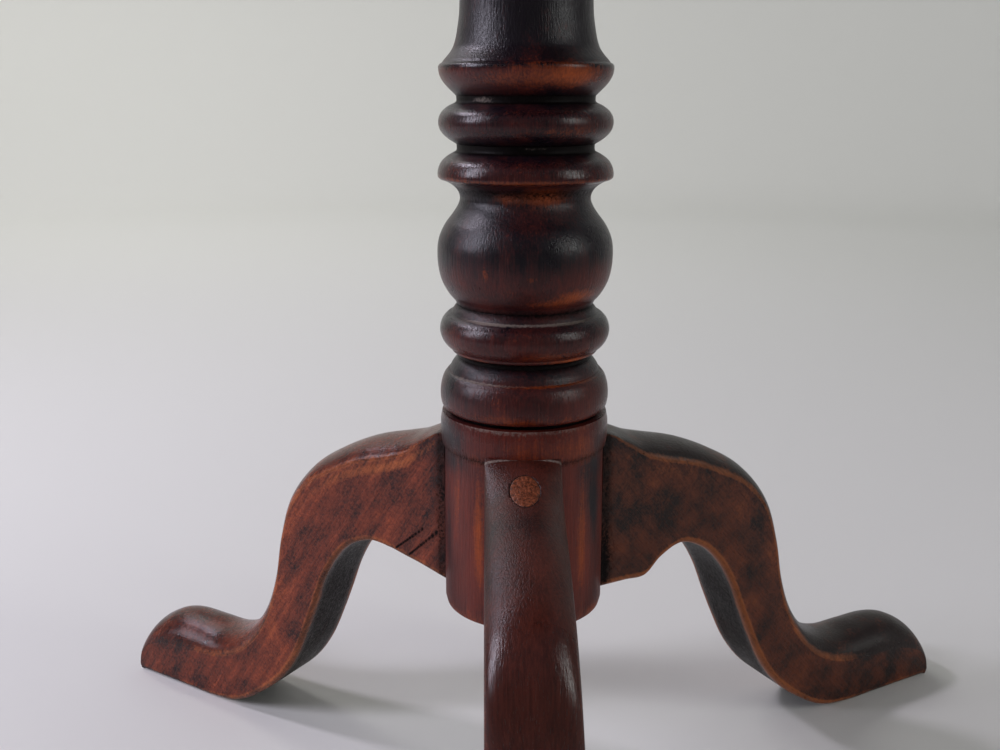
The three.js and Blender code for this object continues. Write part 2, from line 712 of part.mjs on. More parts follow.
// A round-wire compression spring between the case's back wall and the bolt's shoulder.
function makeSpring() {
  const start = caseBack + CATCH_WALL + GAP + SPRING_WIRE_RADIUS;
  const length = boltBodyBack - GAP - SPRING_WIRE_RADIUS - start;
  const coil = SPRING_ROD_RADIUS + SPRING_WIRE_RADIUS + 0.6;
  const points = [];
  const perTurn = 9;
  for (let i = 0; i <= SPRING_TURNS * perTurn; i++) {
    const turn = (i / perTurn) * 2 * Math.PI;
    const y = start + (length * i) / (SPRING_TURNS * perTurn);
    points.push(new THREE.Vector3(coil * Math.cos(turn), y, springZ + coil * Math.sin(turn)));
  }
  const section = new THREE.Shape();
  const sides = 6;
  for (let i = 0; i <= sides; i++) {
    const turn = (i / sides) * 2 * Math.PI;
    const x = SPRING_WIRE_RADIUS * Math.cos(turn);
    const y = SPRING_WIRE_RADIUS * Math.sin(turn);
    if (i) section.lineTo(x, y);
    else section.moveTo(x, y);
  }
  const geometry = new THREE.ExtrudeGeometry(section, {
    steps: points.length - 1,
    bevelEnabled: false,
    extrudePath: new THREE.CatmullRomCurve3(points),
  });
  return piece("catch_spring", solid(geometry), iron());
}

// ---- assembly ----

const table = new THREE.Group();

const base = new THREE.Group();
base.add(makeColumn(), makeWedge(), ...LEG_SPOTS.map(makeLeg), ...makePlugAndScrew());
base.add(makePivotBlock(), ...makeKeeper());

const top = new THREE.Group();
top.add(...makeTopBoards(), makeBearer("bearer_left", -bearerX), makeBearer("bearer_right", bearerX));
top.add(...makeBearerScrews(), ...makeCatchBase(), makeCatchCase(), makeSpring());

const bolt = new THREE.Group();
bolt.add(makeCatchBolt(), makeKnob());

table.add(base, top, bolt);

export default table;
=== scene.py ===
# %% [markdown]
# # A tilt-top tripod table, finished in Blender
#
# A round top tips up on a pivot block, the block stands on a turned column, and the column stands
# on three cabriole legs. The joiner's solids come in as a fixed frame, and this lesson gives each
# of them the fine shape, the old polish and the wear of the real thing.
#
# Everything is in metres inside Blender, and the dimensions below are in millimetres, because
# that is what a turner's rule reads. `MM` joins the two.

# %% Load the frame
import bpy
import bmesh
import numpy as np
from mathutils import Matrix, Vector


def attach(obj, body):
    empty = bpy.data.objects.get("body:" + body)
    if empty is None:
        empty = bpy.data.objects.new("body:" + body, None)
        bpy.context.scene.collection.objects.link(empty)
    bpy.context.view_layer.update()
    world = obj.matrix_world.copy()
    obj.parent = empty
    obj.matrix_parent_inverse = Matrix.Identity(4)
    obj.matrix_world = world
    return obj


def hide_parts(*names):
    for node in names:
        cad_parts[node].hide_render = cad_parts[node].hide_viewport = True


MM = 0.001
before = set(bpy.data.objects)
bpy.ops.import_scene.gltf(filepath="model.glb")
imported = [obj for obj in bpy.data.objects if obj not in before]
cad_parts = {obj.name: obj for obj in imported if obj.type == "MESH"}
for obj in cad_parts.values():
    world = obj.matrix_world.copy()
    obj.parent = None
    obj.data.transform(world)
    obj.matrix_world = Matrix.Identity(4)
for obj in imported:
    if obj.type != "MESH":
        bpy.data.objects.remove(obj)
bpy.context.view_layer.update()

# %% [markdown]
# ## Camera
#
# The camera kneels in front of the column and looks slightly down at the hub and the knees of the
# legs. A lens of about 40 mm on a full-frame sensor sees what an eye sees from half a metre. The
# object is the same from every side of the room, so the camera could stand anywhere; here the
# front leg points at it.

# %% Camera
camera_data = bpy.data.cameras.new("studio_camera")
camera_data.lens = 39.6
camera_data.sensor_width = 36
camera_data.clip_start = 0.01
camera = bpy.data.objects.new("studio_camera", camera_data)
camera.location = (-0.0109, -0.4778, 0.3403)
camera.rotation_euler = (np.radians(75.2), 0, 0)
bpy.context.scene.collection.objects.link(camera)
bpy.context.scene.camera = camera
bpy.context.scene.view_settings.view_transform = "Standard"
print("camera at", tuple(camera.location))

# %% [markdown]
# ## Points into meshes
#
# Nearly every piece here is a surface worked out as a grid of points: one parameter runs along
# the piece and the other runs round it. A grid like that could be made by pulling a circle about
# by hand, but a formula gives the same table each time and can be read. `skin` turns a grid into
# a closed mesh, with each end drawn together to a point or closed by one flat face.

# %% From a grid of points to a closed mesh
def new_piece(name, vertices, faces, crease=35):
    """Makes a mesh object at the origin from points in millimetres, with faces turned outwards."""
    mesh = bpy.data.meshes.new(name)
    mesh.from_pydata((np.asarray(vertices) * MM).tolist(), [], faces)
    shaped = bmesh.new()
    shaped.from_mesh(mesh)
    bmesh.ops.recalc_face_normals(shaped, faces=shaped.faces)
    shaped.to_mesh(mesh)
    shaped.free()
    mesh.shade_smooth()
    mesh.set_sharp_from_angle(angle=np.radians(crease))
    piece = bpy.data.objects.new(name, mesh)
    bpy.context.scene.collection.objects.link(piece)
    return piece


def skin(name, grid, start=None, end=None, crease=35):
    """Closes a grid[along, round, xyz] into a tube. An end given a point is drawn together there,
    as at a pole; an end given none is closed by one flat face."""
    rings, around = grid.shape[:2]
    index = np.arange(rings * around).reshape(rings, around)
    here, beside = index[:-1], np.roll(index[:-1], -1, axis=1)
    above, across = index[1:], np.roll(index[1:], -1, axis=1)
    faces = np.stack([here, beside, across, above], axis=-1).reshape(-1, 4).tolist()
    points = [grid.reshape(-1, 3)]
    for ring, pole in ((index[0], start), (index[-1], end)):
        if pole is None:
            faces.append(ring.tolist())
            continue
        tip = sum(len(block) for block in points)
        points.append(np.asarray(pole, float).reshape(1, 3))
        fan = np.stack([ring, np.roll(ring, -1), np.full(around, tip)], axis=-1)
        faces.extend(fan.tolist())
    return new_piece(name, np.concatenate(points), faces, crease)


# %% [markdown]
# A turner's or carver's curve passes through a few marked points. The centripetal Catmull-Rom
# curve does the same: each stretch leaves and reaches its marks in the direction of their
# neighbours, and it never loops, however close two marks are.

# %% Curves through marked points
def curve_through(marks, at):
    """Centripetal Catmull-Rom curve. Between two marks it is the cubic whose slope at each mark
    blends the chords on both sides, each weighed by the square root of its length."""
    marks = np.asarray(marks, float)
    full = np.vstack([2 * marks[0] - marks[1], marks, 2 * marks[-1] - marks[-2]])
    step = np.sqrt(np.linalg.norm(np.diff(full, axis=0), axis=1))
    place = np.clip(np.asarray(at, float), 0, 1) * (len(marks) - 1)
    left = np.minimum(place.astype(int), len(marks) - 2)
    share = (place - left)[:, None]
    before, here, there, after = (full[left + k] for k in range(4))
    d0, d1, d2 = (step[left + k][:, None] for k in range(3))
    leave = (here - before) / d0 - (there - before) / (d0 + d1) + (there - here) / d1
    reach = (there - here) / d1 - (after - here) / (d1 + d2) + (after - there) / d2
    leave, reach = leave * d1, reach * d1
    bend = -3 * here + 3 * there - 2 * leave - reach
    twist = 2 * here - 2 * there + leave + reach
    return here + leave * share + bend * share**2 + twist * share**3


def evenly(points, spacing):
    """Resamples a line of points so that neighbours lie about `spacing` apart along it."""
    run = np.concatenate([[0], np.cumsum(np.linalg.norm(np.diff(points, axis=0), axis=1))])
    count = max(int(np.ceil(run[-1] / spacing)), 1) + 1
    at = np.linspace(0, run[-1], count)
    return np.stack([np.interp(at, run, points[:, k]) for k in range(points.shape[1])], axis=1)


# %% [markdown]
# Holes, mortises and housings are cut the way a joiner cuts them: the piece is made whole, then
# a cutter is taken away from it. Blender's boolean does that exactly, and its modifier is applied
# at once so that the piece ends as plain mesh.

# %% Cutting and joining solids
def join_or_cut(piece, tool, operation="DIFFERENCE"):
    """Applies a boolean of `piece` with `tool`, then clears the tool away."""
    cut = piece.modifiers.new("cut", "BOOLEAN")
    cut.operation = operation
    cut.solver = "EXACT"
    cut.object = tool
    graph = bpy.context.evaluated_depsgraph_get()
    made = bpy.data.meshes.new_from_object(piece.evaluated_get(graph), depsgraph=graph)
    piece.modifiers.remove(cut)
    spent = piece.data
    piece.data = made
    bpy.data.meshes.remove(spent)
    bpy.data.objects.remove(tool, do_unlink=True)
    return piece


def turned(name, profile, around=64, centre=(0, 0), crease=35):
    """Lathe: [radius, height] points, the first and last on the axis, carried round Z."""
    profile = np.asarray(profile, float)
    turn = np.linspace(0, 2 * np.pi, around, endpoint=False)
    radius, height = profile[1:-1, :1], profile[1:-1, 1:]
    grid = np.stack(
        [centre[0] + radius * np.cos(turn), centre[1] + radius * np.sin(turn), height + 0 * turn],
        axis=-1,
    )
    poles = [(*centre, profile[0, 1]), (*centre, profile[-1, 1])]
    return skin(name, grid, *poles, crease)


def rod(name, radius, low, high, around=64, centre=(0, 0)):
    """A plain cylinder about Z, used mostly as a drill."""
    return turned(name, [[0, low], [radius, low], [radius, high], [0, high]], around, centre)


def carried(name, outline, low, high, crease=35):
    """An outline of [y, z] points carried straight along X, with flat ends."""
    outline = np.asarray(outline, float)
    ends = np.array([low, high], float)[:, None, None]
    grid = np.concatenate([ends + 0 * outline[None, :, :1], np.stack([outline, outline])], axis=-1)
    return skin(name, grid, crease=crease)


def box(name, low, high):
    """A box between two corners, made as a square carried along X."""
    (x0, y0, z0), (x1, y1, z1) = low, high
    return carried(name, [(y0, z0), (y1, z0), (y1, z1), (y0, z1)], x0, x1)


def moved(piece, turn=None, shift=(0, 0, 0)):
    """Turns a piece's own points by a 3x3 matrix and shifts them, in millimetres."""
    points = np.zeros(len(piece.data.vertices) * 3)
    piece.data.vertices.foreach_get("co", points)
    points = points.reshape(-1, 3) @ (np.eye(3) if turn is None else np.asarray(turn)).T
    points += np.asarray(shift, float) * MM
    piece.data.vertices.foreach_set("co", points.ravel())
    piece.data.update()
    return piece


def spin(axis, degrees):
    """Rotation matrix about X, Y or Z."""
    c, s = np.cos(np.radians(degrees)), np.sin(np.radians(degrees))
    turns = {
        "X": [[1, 0, 0], [0, c, -s], [0, s, c]],
        "Y": [[c, 0, s], [0, 1, 0], [-s, 0, c]],
        "Z": [[c, -s, 0], [s, c, 0], [0, 0, 1]],
    }
    return np.array(turns[axis])


def note(piece, **marks):
    """Stores one number per vertex under each name, for the polish to read."""
    for name, values in marks.items():
        layer = piece.data.attributes.new(name, "FLOAT", "POINT")
        layer.data.foreach_set("value", np.clip(values, 0, 1).astype(np.float32).ravel())


def points_of(piece):
    """The vertices of a piece, in millimetres."""
    points = np.zeros(len(piece.data.vertices) * 3)
    piece.data.vertices.foreach_get("co", points)
    return points.reshape(-1, 3) / MM


def ease_edges(piece, width, segments=2):
    """Takes the sharpness off a joiner's edges, as one pass of a scraper does."""
    bevel = piece.modifiers.new("eased_edges", "BEVEL")
    bevel.width = width * MM
    bevel.segments = segments
    bevel.limit_method = "ANGLE"
    bevel.angle_limit = np.radians(32)
    bevel.harden_normals = True


def place(piece, finish, body, slot, *nodes):
    """Gives a piece its finish, lets it ride on a body and stand for its CAD nodes."""
    if not piece.data.materials:
        piece.data.materials.append(finish)
    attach(piece, body)
    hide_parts(*nodes)
    piece.data.calc_loop_triangles()
    print(piece.name, "on", body, len(piece.data.loop_triangles), "triangles")


# %% [markdown]
# ## Colours and nodes
#
# Colours are written as hex, as on any screen, and turned to the linear light that the shader
# adds up. One helper adds any node: its settings, then its sockets, each given a value or the
# output of an earlier node.

# %% Helpers for materials
def linear(hex_colour):
    """sRGB hex to linear RGBA."""
    srgb = np.array([int(hex_colour[i : i + 2], 16) for i in (1, 3, 5)]) / 255
    light = np.where(srgb <= 0.04045, srgb / 12.92, ((srgb + 0.055) / 1.055) ** 2.4)
    return (*light.tolist(), 1.0)


def add(tree, kind, inputs=None, ramp=None, **settings):
    """Adds one node. `inputs` maps a socket's name or number to a value or an output."""
    node = tree.nodes.new("ShaderNode" + kind)
    for name, value in settings.items():
        setattr(node, name, value)
    for name, value in (inputs or {}).items():
        if isinstance(value, bpy.types.NodeSocket):
            tree.links.new(value, node.inputs[name])
        else:
            node.inputs[name].default_value = value
    if ramp:
        stops = node.color_ramp.elements
        while len(stops) < len(ramp):
            stops.new(0.5)
        for stop, (position, colour) in zip(stops, ramp):
            stop.position = position
            stop.color = colour
    return node


def new_finish(name):
    """An empty material with its output, its principled shader and its tree."""
    material = bpy.data.materials.new(name)
    material.use_nodes = True
    tree = material.node_tree
    tree.nodes.clear()
    shader = add(tree, "BsdfPrincipled")
    add(tree, "OutputMaterial", {"Surface": shader.outputs["BSDF"]})
    return material, tree, shader


MIX, FIRST, SECOND, MIXED = 0, 6, 7, 2  # sockets of a colour Mix node
PORE_WIDTH = 0.55  # mm, in waxed wood
RELIEF_DEPTH = 0.2  # mm, of the bump in wood

# %% [markdown]
# ## The old waxed wood
#
# Column and legs are dark stained hardwood, close to mahogany, under two centuries of wax. Such
# a surface could be one brown with a grain picture over it. It is built here in the order in
# which it came about instead, so that it stays true from any side:
#
# 1. the wood itself: cloudy patches of tone, streaks along the grain, open pores as short dashes
# 2. stain and polish, black where nobody rubs, red where hands and dusters do (`tone`), with
#    painted shade under the collar and on the undersides of the legs
# 3. edges worn through to bare orange wood (`wear`)
# 4. darker places: the hollows, the leg roots at the hub, the cracks, and painted shade under the
#    collar and under the legs; pale lines in the grooves, partly dust and partly painted glints
# 5. how much a place is polished by use (`rub`): it gets smoother there, and more even in tone
#
# These five marks are numbers stored on the vertices; noise breaks the outlines of the first four
# up. The darker places and the pale lines also take the shine away.

# %% Waxed wood
def waxed_wood(
    name, dark, body, worn, grime="#0d0808", dust="#857a72", turn=0, slope=0, streak=1.1,
    gloss=0.46, mottle=0.75, pore=0.55, stretch=0.35, cloud=13, crackle=0.0, fleck=1.6, grain=0.5,
    knocked=0.55, flat_tone=None,
):
    """Waxed wood whose grain runs along local X after a turn about Z and a slope about Y, or
    along Z where slope is 90. Sizes in mm: `streak` between streaks, `cloud` across a cloud and
    `fleck` across a fleck. `stretch` below 1 draws the clouds out along the grain."""
    material, tree, shader = new_finish(name)
    here = add(tree, "TexCoord").outputs["Object"]
    faced = add(tree, "Mapping", {"Vector": here, "Rotation": (0, 0, -np.radians(turn))})
    plank = add(
        tree, "Mapping", {"Vector": faced.outputs[0], "Rotation": (0, np.radians(-slope), 0)}
    ).outputs[0]
    along = add(tree, "Mapping", {"Vector": plank, "Scale": (0.035, 1, 1)}).outputs[0]
    dashes = add(tree, "Mapping", {"Vector": plank, "Scale": (0.11, 1, 1)}).outputs[0]
    clouded = add(tree, "Mapping", {"Vector": plank, "Scale": (stretch, 1, 1)}).outputs[0]

    clouds = add(
        tree, "TexNoise",
        {"Vector": clouded, "Scale": 1 / (cloud * MM), "Detail": 6, "Roughness": 0.62},
    ).outputs["Fac"]
    streaks = add(
        tree, "TexNoise",
        {"Vector": along, "Scale": 1 / (streak * MM), "Detail": 3, "Roughness": 0.6},
    ).outputs["Fac"]
    pores = add(
        tree, "TexNoise",
        {"Vector": dashes, "Scale": 1 / (PORE_WIDTH * MM), "Detail": 2, "Roughness": 0.5},
    ).outputs["Fac"]
    speckle = add(
        tree, "TexNoise",
        {"Vector": here, "Scale": 1 / (fleck * MM), "Detail": 5, "Roughness": 0.68,
         "Distortion": 0.5},
    ).outputs["Fac"]

    if flat_tone is None:
        tone = add(tree, "Attribute", attribute_name="tone").outputs["Fac"]
    else:
        tone = flat_tone
    wear = add(tree, "Attribute", attribute_name="wear").outputs["Fac"]
    # this attribute holds cracks, darker hollows and painted shade under the collar and under the
    # legs
    dirt_and_shade = add(tree, "Attribute", attribute_name="grime").outputs["Fac"]
    # this attribute holds pale lines in the grooves, partly dust and partly painted glints
    dusty = add(tree, "Attribute", attribute_name="dust").outputs["Fac"]
    rub = add(tree, "Attribute", attribute_name="rub").outputs["Fac"]
    uneven = add(tree, "MapRange", {"Value": rub, 1: 0.3, 2: 0.9, 3: 1.0, 4: 0.45}).outputs[0]

    cloud_lift = add(
        tree, "MapRange", {"Value": clouds, 1: 0.32, 2: 0.68, 3: -mottle / 2, 4: mottle / 2}
    ).outputs[0]
    streak_lift = add(
        tree, "MapRange", {"Value": streaks, 1: 0.3, 2: 0.7, 3: -0.36 * grain, 4: 0.36 * grain}
    ).outputs[0]
    toned = add(
        tree, "Math", {0: cloud_lift, 1: uneven, 2: tone}, operation="MULTIPLY_ADD"
    ).outputs[0]
    grained = add(tree, "Math", {0: toned, 1: streak_lift}, operation="ADD").outputs[0]
    crazed = add(
        tree, "MapRange", {"Value": speckle, 1: 0.36, 2: 0.6, 3: -crackle, 4: 0.25 * crackle}
    ).outputs[0]
    grained = add(
        tree, "Math", {0: crazed, 1: uneven, 2: grained}, operation="MULTIPLY_ADD"
    ).outputs[0]
    wood = add(
        tree, "ValToRGB", {"Fac": grained},
        ramp=[(0.0, linear(dark)), (0.45, mixed(dark, body, 0.5)), (1.0, linear(body))],
    ).outputs[0]

    worn_fleck = add(
        tree, "MapRange", {"Value": speckle, 1: 0.3, 2: 0.7, 3: -0.35, 4: 0.35}
    ).outputs[0]
    worn_cloud = add(
        tree, "Math", {0: cloud_lift, 1: 0.7, 2: streak_lift}, operation="MULTIPLY_ADD"
    ).outputs[0]
    worn_noise = add(
        tree, "Math", {0: worn_fleck, 1: 0.7, 2: worn_cloud}, operation="MULTIPLY_ADD"
    ).outputs[0]
    worn_here = add(
        tree, "Math", {0: wear, 1: 1.15, 2: worn_noise}, operation="MULTIPLY_ADD"
    ).outputs[0]
    worn_mask = add(
        tree, "MapRange", {"Value": worn_here, 1: 0.22, 2: 1.15, 4: 0.92}
    ).outputs[0]
    rubbed = add(
        tree, "Mix", {MIX: worn_mask, FIRST: wood, SECOND: linear(worn)}, data_type="RGBA"
    ).outputs[MIXED]

    shade = add(
        tree, "MapRange", {"Value": streaks, 1: 0.36, 2: 0.62, 3: 1 - 0.6 * grain, 4: 1.1}
    ).outputs[0]
    rubbed = add(
        tree, "Mix", {MIX: 1.0, FIRST: rubbed, SECOND: shade}, data_type="RGBA",
        blend_type="MULTIPLY",
    ).outputs[MIXED]
    pore_mask = add(
        tree, "MapRange", {"Value": pores, 1: 0.6, 2: 0.72, 3: 0.0, 4: pore}
    ).outputs[0]
    pored = add(
        tree, "Mix", {MIX: pore_mask, FIRST: rubbed, SECOND: linear(grime)}, data_type="RGBA"
    ).outputs[MIXED]

    # the dark colour goes on for cracks, hollows and painted shade alike
    dirt_and_shade_here = add(
        tree, "Math", {0: dirt_and_shade, 1: 1.3, 2: worn_fleck}, operation="MULTIPLY_ADD"
    ).outputs[0]
    dirt_and_shade_mask = add(tree, "MapRange", {"Value": dirt_and_shade_here, 1: 0.25, 2: 0.9}).outputs[0]
    dirtied_and_shaded = add(
        tree, "Mix", {MIX: dirt_and_shade_mask, FIRST: pored, SECOND: linear(grime)}, data_type="RGBA"
    ).outputs[MIXED]
    # the pale colour goes on for dust and for painted glints alike
    dust_here = add(
        tree, "Math", {0: dusty, 1: 1.2, 2: worn_fleck}, operation="MULTIPLY_ADD"
    ).outputs[0]
    dust_mask = add(tree, "MapRange", {"Value": dust_here, 1: 0.45, 2: 1.0, 4: 0.8}).outputs[0]
    coloured = add(
        tree, "Mix", {MIX: dust_mask, FIRST: dirtied_and_shaded, SECOND: linear(dust)}, data_type="RGBA"
    ).outputs[MIXED]

    matt = add(tree, "Math", {0: dirt_and_shade_mask, 1: dust_mask}, operation="MAXIMUM").outputs[0]
    smear = add(
        tree, "MapRange", {"Value": clouds, 1: 0.3, 2: 0.7, 3: gloss - 0.05, 4: gloss + 0.09}
    ).outputs[0]
    rubbed_smooth = add(
        tree, "Math", {0: rub, 1: -0.26, 2: smear}, operation="MULTIPLY_ADD"
    ).outputs[0]
    pitted = add(
        tree, "Math", {0: pore_mask, 1: 0.2, 2: rubbed_smooth}, operation="MULTIPLY_ADD"
    ).outputs[0]
    rough = add(tree, "Math", {0: matt, 1: 0.1, 2: pitted}, operation="MULTIPLY_ADD").outputs[0]

    relief = add(
        tree, "Math", {0: pores, 1: -0.9, 2: streaks}, operation="MULTIPLY_ADD"
    ).outputs[0]
    knocks = add(
        tree, "Math", {0: speckle, 1: knocked, 2: relief}, operation="MULTIPLY_ADD"
    ).outputs[0]
    bump = add(
        tree, "Bump", {"Height": knocks, "Strength": uneven, "Distance": RELIEF_DEPTH * MM}
    ).outputs[0]

    shader.inputs["IOR"].default_value = 1.43
    shine = add(tree, "MapRange", {"Value": matt, 3: 0.38, 4: 0.08}).outputs[0]
    tree.links.new(shine, shader.inputs["Specular IOR Level"])
    tree.links.new(coloured, shader.inputs["Base Color"])
    tree.links.new(rough, shader.inputs["Roughness"])
    tree.links.new(bump, shader.inputs["Normal"])
    return material


def mixed(first, second, share):
    """A colour between two hex colours, in linear light."""
    return tuple((1 - share) * a + share * b for a, b in zip(linear(first), linear(second)))


column_wood = waxed_wood(
    "stained_mahogany_turned", "#110a12", "#6a281c", "#a04713", slope=90, streak=0.8, mottle=0.48,
    pore=0.3, stretch=0.5, cloud=15, crackle=0.1, fleck=1.2, grain=0.26, knocked=0.35,
)
print(column_wood.name, len(column_wood.node_tree.nodes), "nodes")

# %% [markdown]
# ## The turned column
#
# The turner worked this from one billet: a plain hub that takes the legs, a collar, a stack of
# rings with a ball between them, a long tapering shaft, a neck ring and the tenon. It could be
# modelled ring by ring, but a lathe cuts one profile, and so does this cell. Marks are [radius,
# height]; each list is one sweep of the gouge, and a sharp corner stands where two lists meet.

# %% Profile of the column
SWEEPS = [
    [(0, 105.5), (33.4, 105.5)],
    [(33.4, 105.5), (35.1, 106), (36.1, 107.2), (36.4, 109.2)],
    [(36.4, 109.2), (36.2, 150), (35.9, 183.6)],
    [(35.9, 183.6), (37.0, 183.6)],
    [(37.0, 183.6), (37.4, 184.6), (37.4, 197.8), (36.9, 198.7)],
    [(36.9, 198.7), (33.2, 199.0)],
    [(33.2, 199.0), (33.2, 200.7)],
    [(33.2, 200.7), (35.9, 200.9)],
    [
        (35.9, 200.9), (36.8, 202), (37.4, 204.3), (37.6, 207), (37.2, 211.2), (35.9, 215.2),
        (34.3, 217.3),
    ],
    [(34.3, 217.3), (33.3, 217.6)],
    [(33.3, 217.6), (32.7, 219.6), (31.1, 222), (29.3, 223.8)],
    [(29.3, 223.8), (29.3, 224.8), (30.4, 226.2), (32.1, 226.7)],
    [(32.1, 226.7), (32.5, 227.3), (32.5, 227.9)],
    [
        (32.5, 227.9), (34.4, 229.2), (36.5, 232), (37.5, 236.1), (36.5, 240.2), (34.4, 242.7),
        (33.3, 243.4),
    ],
    [(33.3, 243.4), (32.3, 243.7)],
    [(32.3, 243.7), (31.3, 245.4), (29.8, 247.3)],
    [
        (29.8, 247.3), (30.9, 249.4), (33.3, 252.2), (36.3, 257.6), (37.7, 262.9), (38.2, 268.9),
        (37.8, 274.6), (36.5, 278.7), (34.4, 282.6), (31.5, 286.4), (29.0, 290.4), (28.2, 292.9),
        (28.5, 295.2), (29.7, 297.3), (32.1, 299.4), (34.8, 300.8), (36.7, 301.4),
    ],
    [(36.7, 301.4), (37.5, 302.1)],
    [(37.5, 302.1), (37.7, 303.4), (37.0, 306.7), (35.3, 309.4), (32, 311.8), (29.8, 312.9)],
    [(29.8, 312.9), (29.4, 313.6), (29.4, 315.9)],
    [
        (29.4, 315.9), (30.2, 316.4), (32.6, 317.9), (34.8, 319.7), (36.5, 322), (37.1, 324.6),
        (36.8, 327), (35.4, 329.5), (32.4, 331.8), (30.2, 332.8),
    ],
    [(30.2, 332.8), (29.4, 333.5), (29.4, 335.7)],
    [
        (29.4, 335.7), (30.6, 336.9), (33, 339.2), (35, 341.6), (36.3, 344.1), (36.8, 346.4),
        (36.8, 347.6),
    ],
    [(36.8, 347.6), (36.3, 348.5), (35.3, 349)],
    [
        (35.3, 349), (34.5, 350.1), (32.3, 352.6), (30.7, 355), (29.5, 358.5), (28.6, 363.2),
        (27.9, 368.4), (27.6, 374),
    ],
    [(27.6, 374), (24.9, 500), (22, 621.5)],
    [
        (22, 621.5), (22.6, 623.4), (24.4, 624.6), (26.1, 626.3), (26.5, 628.4), (26.1, 630.6),
        (24.6, 632.3), (23, 633.4),
    ],
    [(23, 633.4), (23, 634.8)],
    [(23, 634.8), (23.4, 642), (25.4, 648.6), (29, 653.4)],
    [(29, 653.4), (29, 659.2)],
    [(29, 659.2), (17, 659.2)],
    [(17, 659.2), (17, 690.6)],
    [(17, 690.6), (16.4, 691.2)],
    [(16.4, 691.2), (0, 691.2)],
]
RING_ZONE = (196, 376)  # heights between which the turning is fine


def column_profile():
    """Each sweep as a smooth curve, resampled finely among the rings and coarsely elsewhere."""
    kept = []
    for sweep in SWEEPS:
        smooth = curve_through(sweep, np.linspace(0, 1, 24 * len(sweep)))
        middle = smooth[:, 1].mean()
        fine = RING_ZONE[0] < middle < RING_ZONE[1]
        spacing = 0.62 if fine else 4.0
        line = evenly(smooth, spacing)
        kept.append(line if not kept else line[1:])
    return np.concatenate(kept)


profile = column_profile()
AROUND_COLUMN = 144
column = turned("turned_column", profile, AROUND_COLUMN, crease=38)
print("column profile:", len(profile), "points")

# %% [markdown]
# The polish of the column is uneven in a way that follows its shape. A duster rubs what stands
# proud, so the profile is compared with a smoothed copy of itself: where it stands out it is
# rubbed, where it lies back it is made darker, and a painted shadow line runs round just under
# the collar. Then come the marks of one table's own life: a ring rubbed orange, chipped edges, a
# red ball under a black shaft.

# %% Wear and painted shade of the column
# (degrees round from the front, height, half-width in degrees, half-height in mm, strength)
RUBBED_SPOTS = [
    (30, 343.6, 24, 4.2, 0.8), (-20, 342.5, 22, 3.2, 0.3), (0, 302.2, 70, 0.7, 0.45),
    (14, 295.8, 22, 3.2, 0.95), (-18, 295.4, 12, 2.4, 0.6), (38, 255.2, 18, 2.6, 0.75),
    (15, 252.6, 18, 1.6, 0.4), (-27, 265, 3, 3.0, 0.45), (3, 263.5, 4, 1.4, 0.5),
    (-9, 258, 6, 1.5, 0.25), (36, 227.2, 20, 1.0, 0.9), (-40, 226.9, 22, 0.8, 0.35),
    (26, 217.4, 40, 0.55, 0.6), (25, 230.5, 25, 2.2, 0.4), (-2, 203, 40, 2.4, 0.35),
    (-50, 185, 26, 1.3, 1.1), (52, 185, 22, 1.4, 1.1), (0, 184.4, 30, 0.8, 0.6),
    (30, 190, 26, 5, 0.35), (-12, 190, 16, 5, 0.3), (-34, 148, 4, 24, 0.75),
    (44, 148, 4, 28, 0.8), (-56, 162, 4, 18, 0.45), (60, 108, 20, 2.4, 0.6),
    (-48, 107.5, 26, 1.8, 0.5), (20, 322, 24, 2.0, 0.25), (140, 343, 30, 4, 0.6),
    (-130, 303, 40, 1, 0.5), (170, 256, 30, 3, 0.5), (-160, 186, 30, 2, 0.7),
    (110, 227, 40, 1, 0.6), (150, 150, 14, 26, 0.4), (-120, 236, 30, 3, 0.3),
]
# pale lines in the grooves, partly dust and partly painted glints
DUST_AND_GLINT_SPOTS = [
    (-30, 198.4, 34, 0.5, 0.8), (24, 198.4, 44, 0.5, 0.7), (-38, 334.2, 14, 1.4, 0.7),
    (-30, 243.6, 30, 0.6, 1.0), (32, 243.6, 34, 0.6, 0.9), (10, 224.4, 40, 0.7, 0.3),
    (8, 315.2, 22, 0.5, 0.55), (150, 198.6, 60, 0.6, 0.8), (-110, 334, 30, 1.2, 0.6),
    (10, 183.4, 14, 0.8, 0.6), (-40, 217.6, 44, 0.6, 0.8),
]
# height: how red the stain is, from black (0) to red-brown (1)
TONE_BY_HEIGHT = [
    (105, 0.66), (150, 0.74), (183, 0.68), (184, 0.66), (198, 0.56), (201, 0.52), (210, 0.3),
    (217, 0.2), (223, 0.04), (228, 0.42), (234, 0.36), (243, 0.1), (250, 0.3), (259, 0.34),
    (270, 0.16), (285, 0.06), (294, 0.1), (300, 0.18), (303, 0.24), (312, 0.08), (316, 0.06),
    (324, 0.2), (330, 0.06), (336, 0.08), (341, 0.34), (346, 0.36), (348, -0.1), (360, -0.14),
    (400, -0.14), (600, -0.05), (626, 0.25), (660, 0.1), (662, 0.3), (700, 0.3),
]
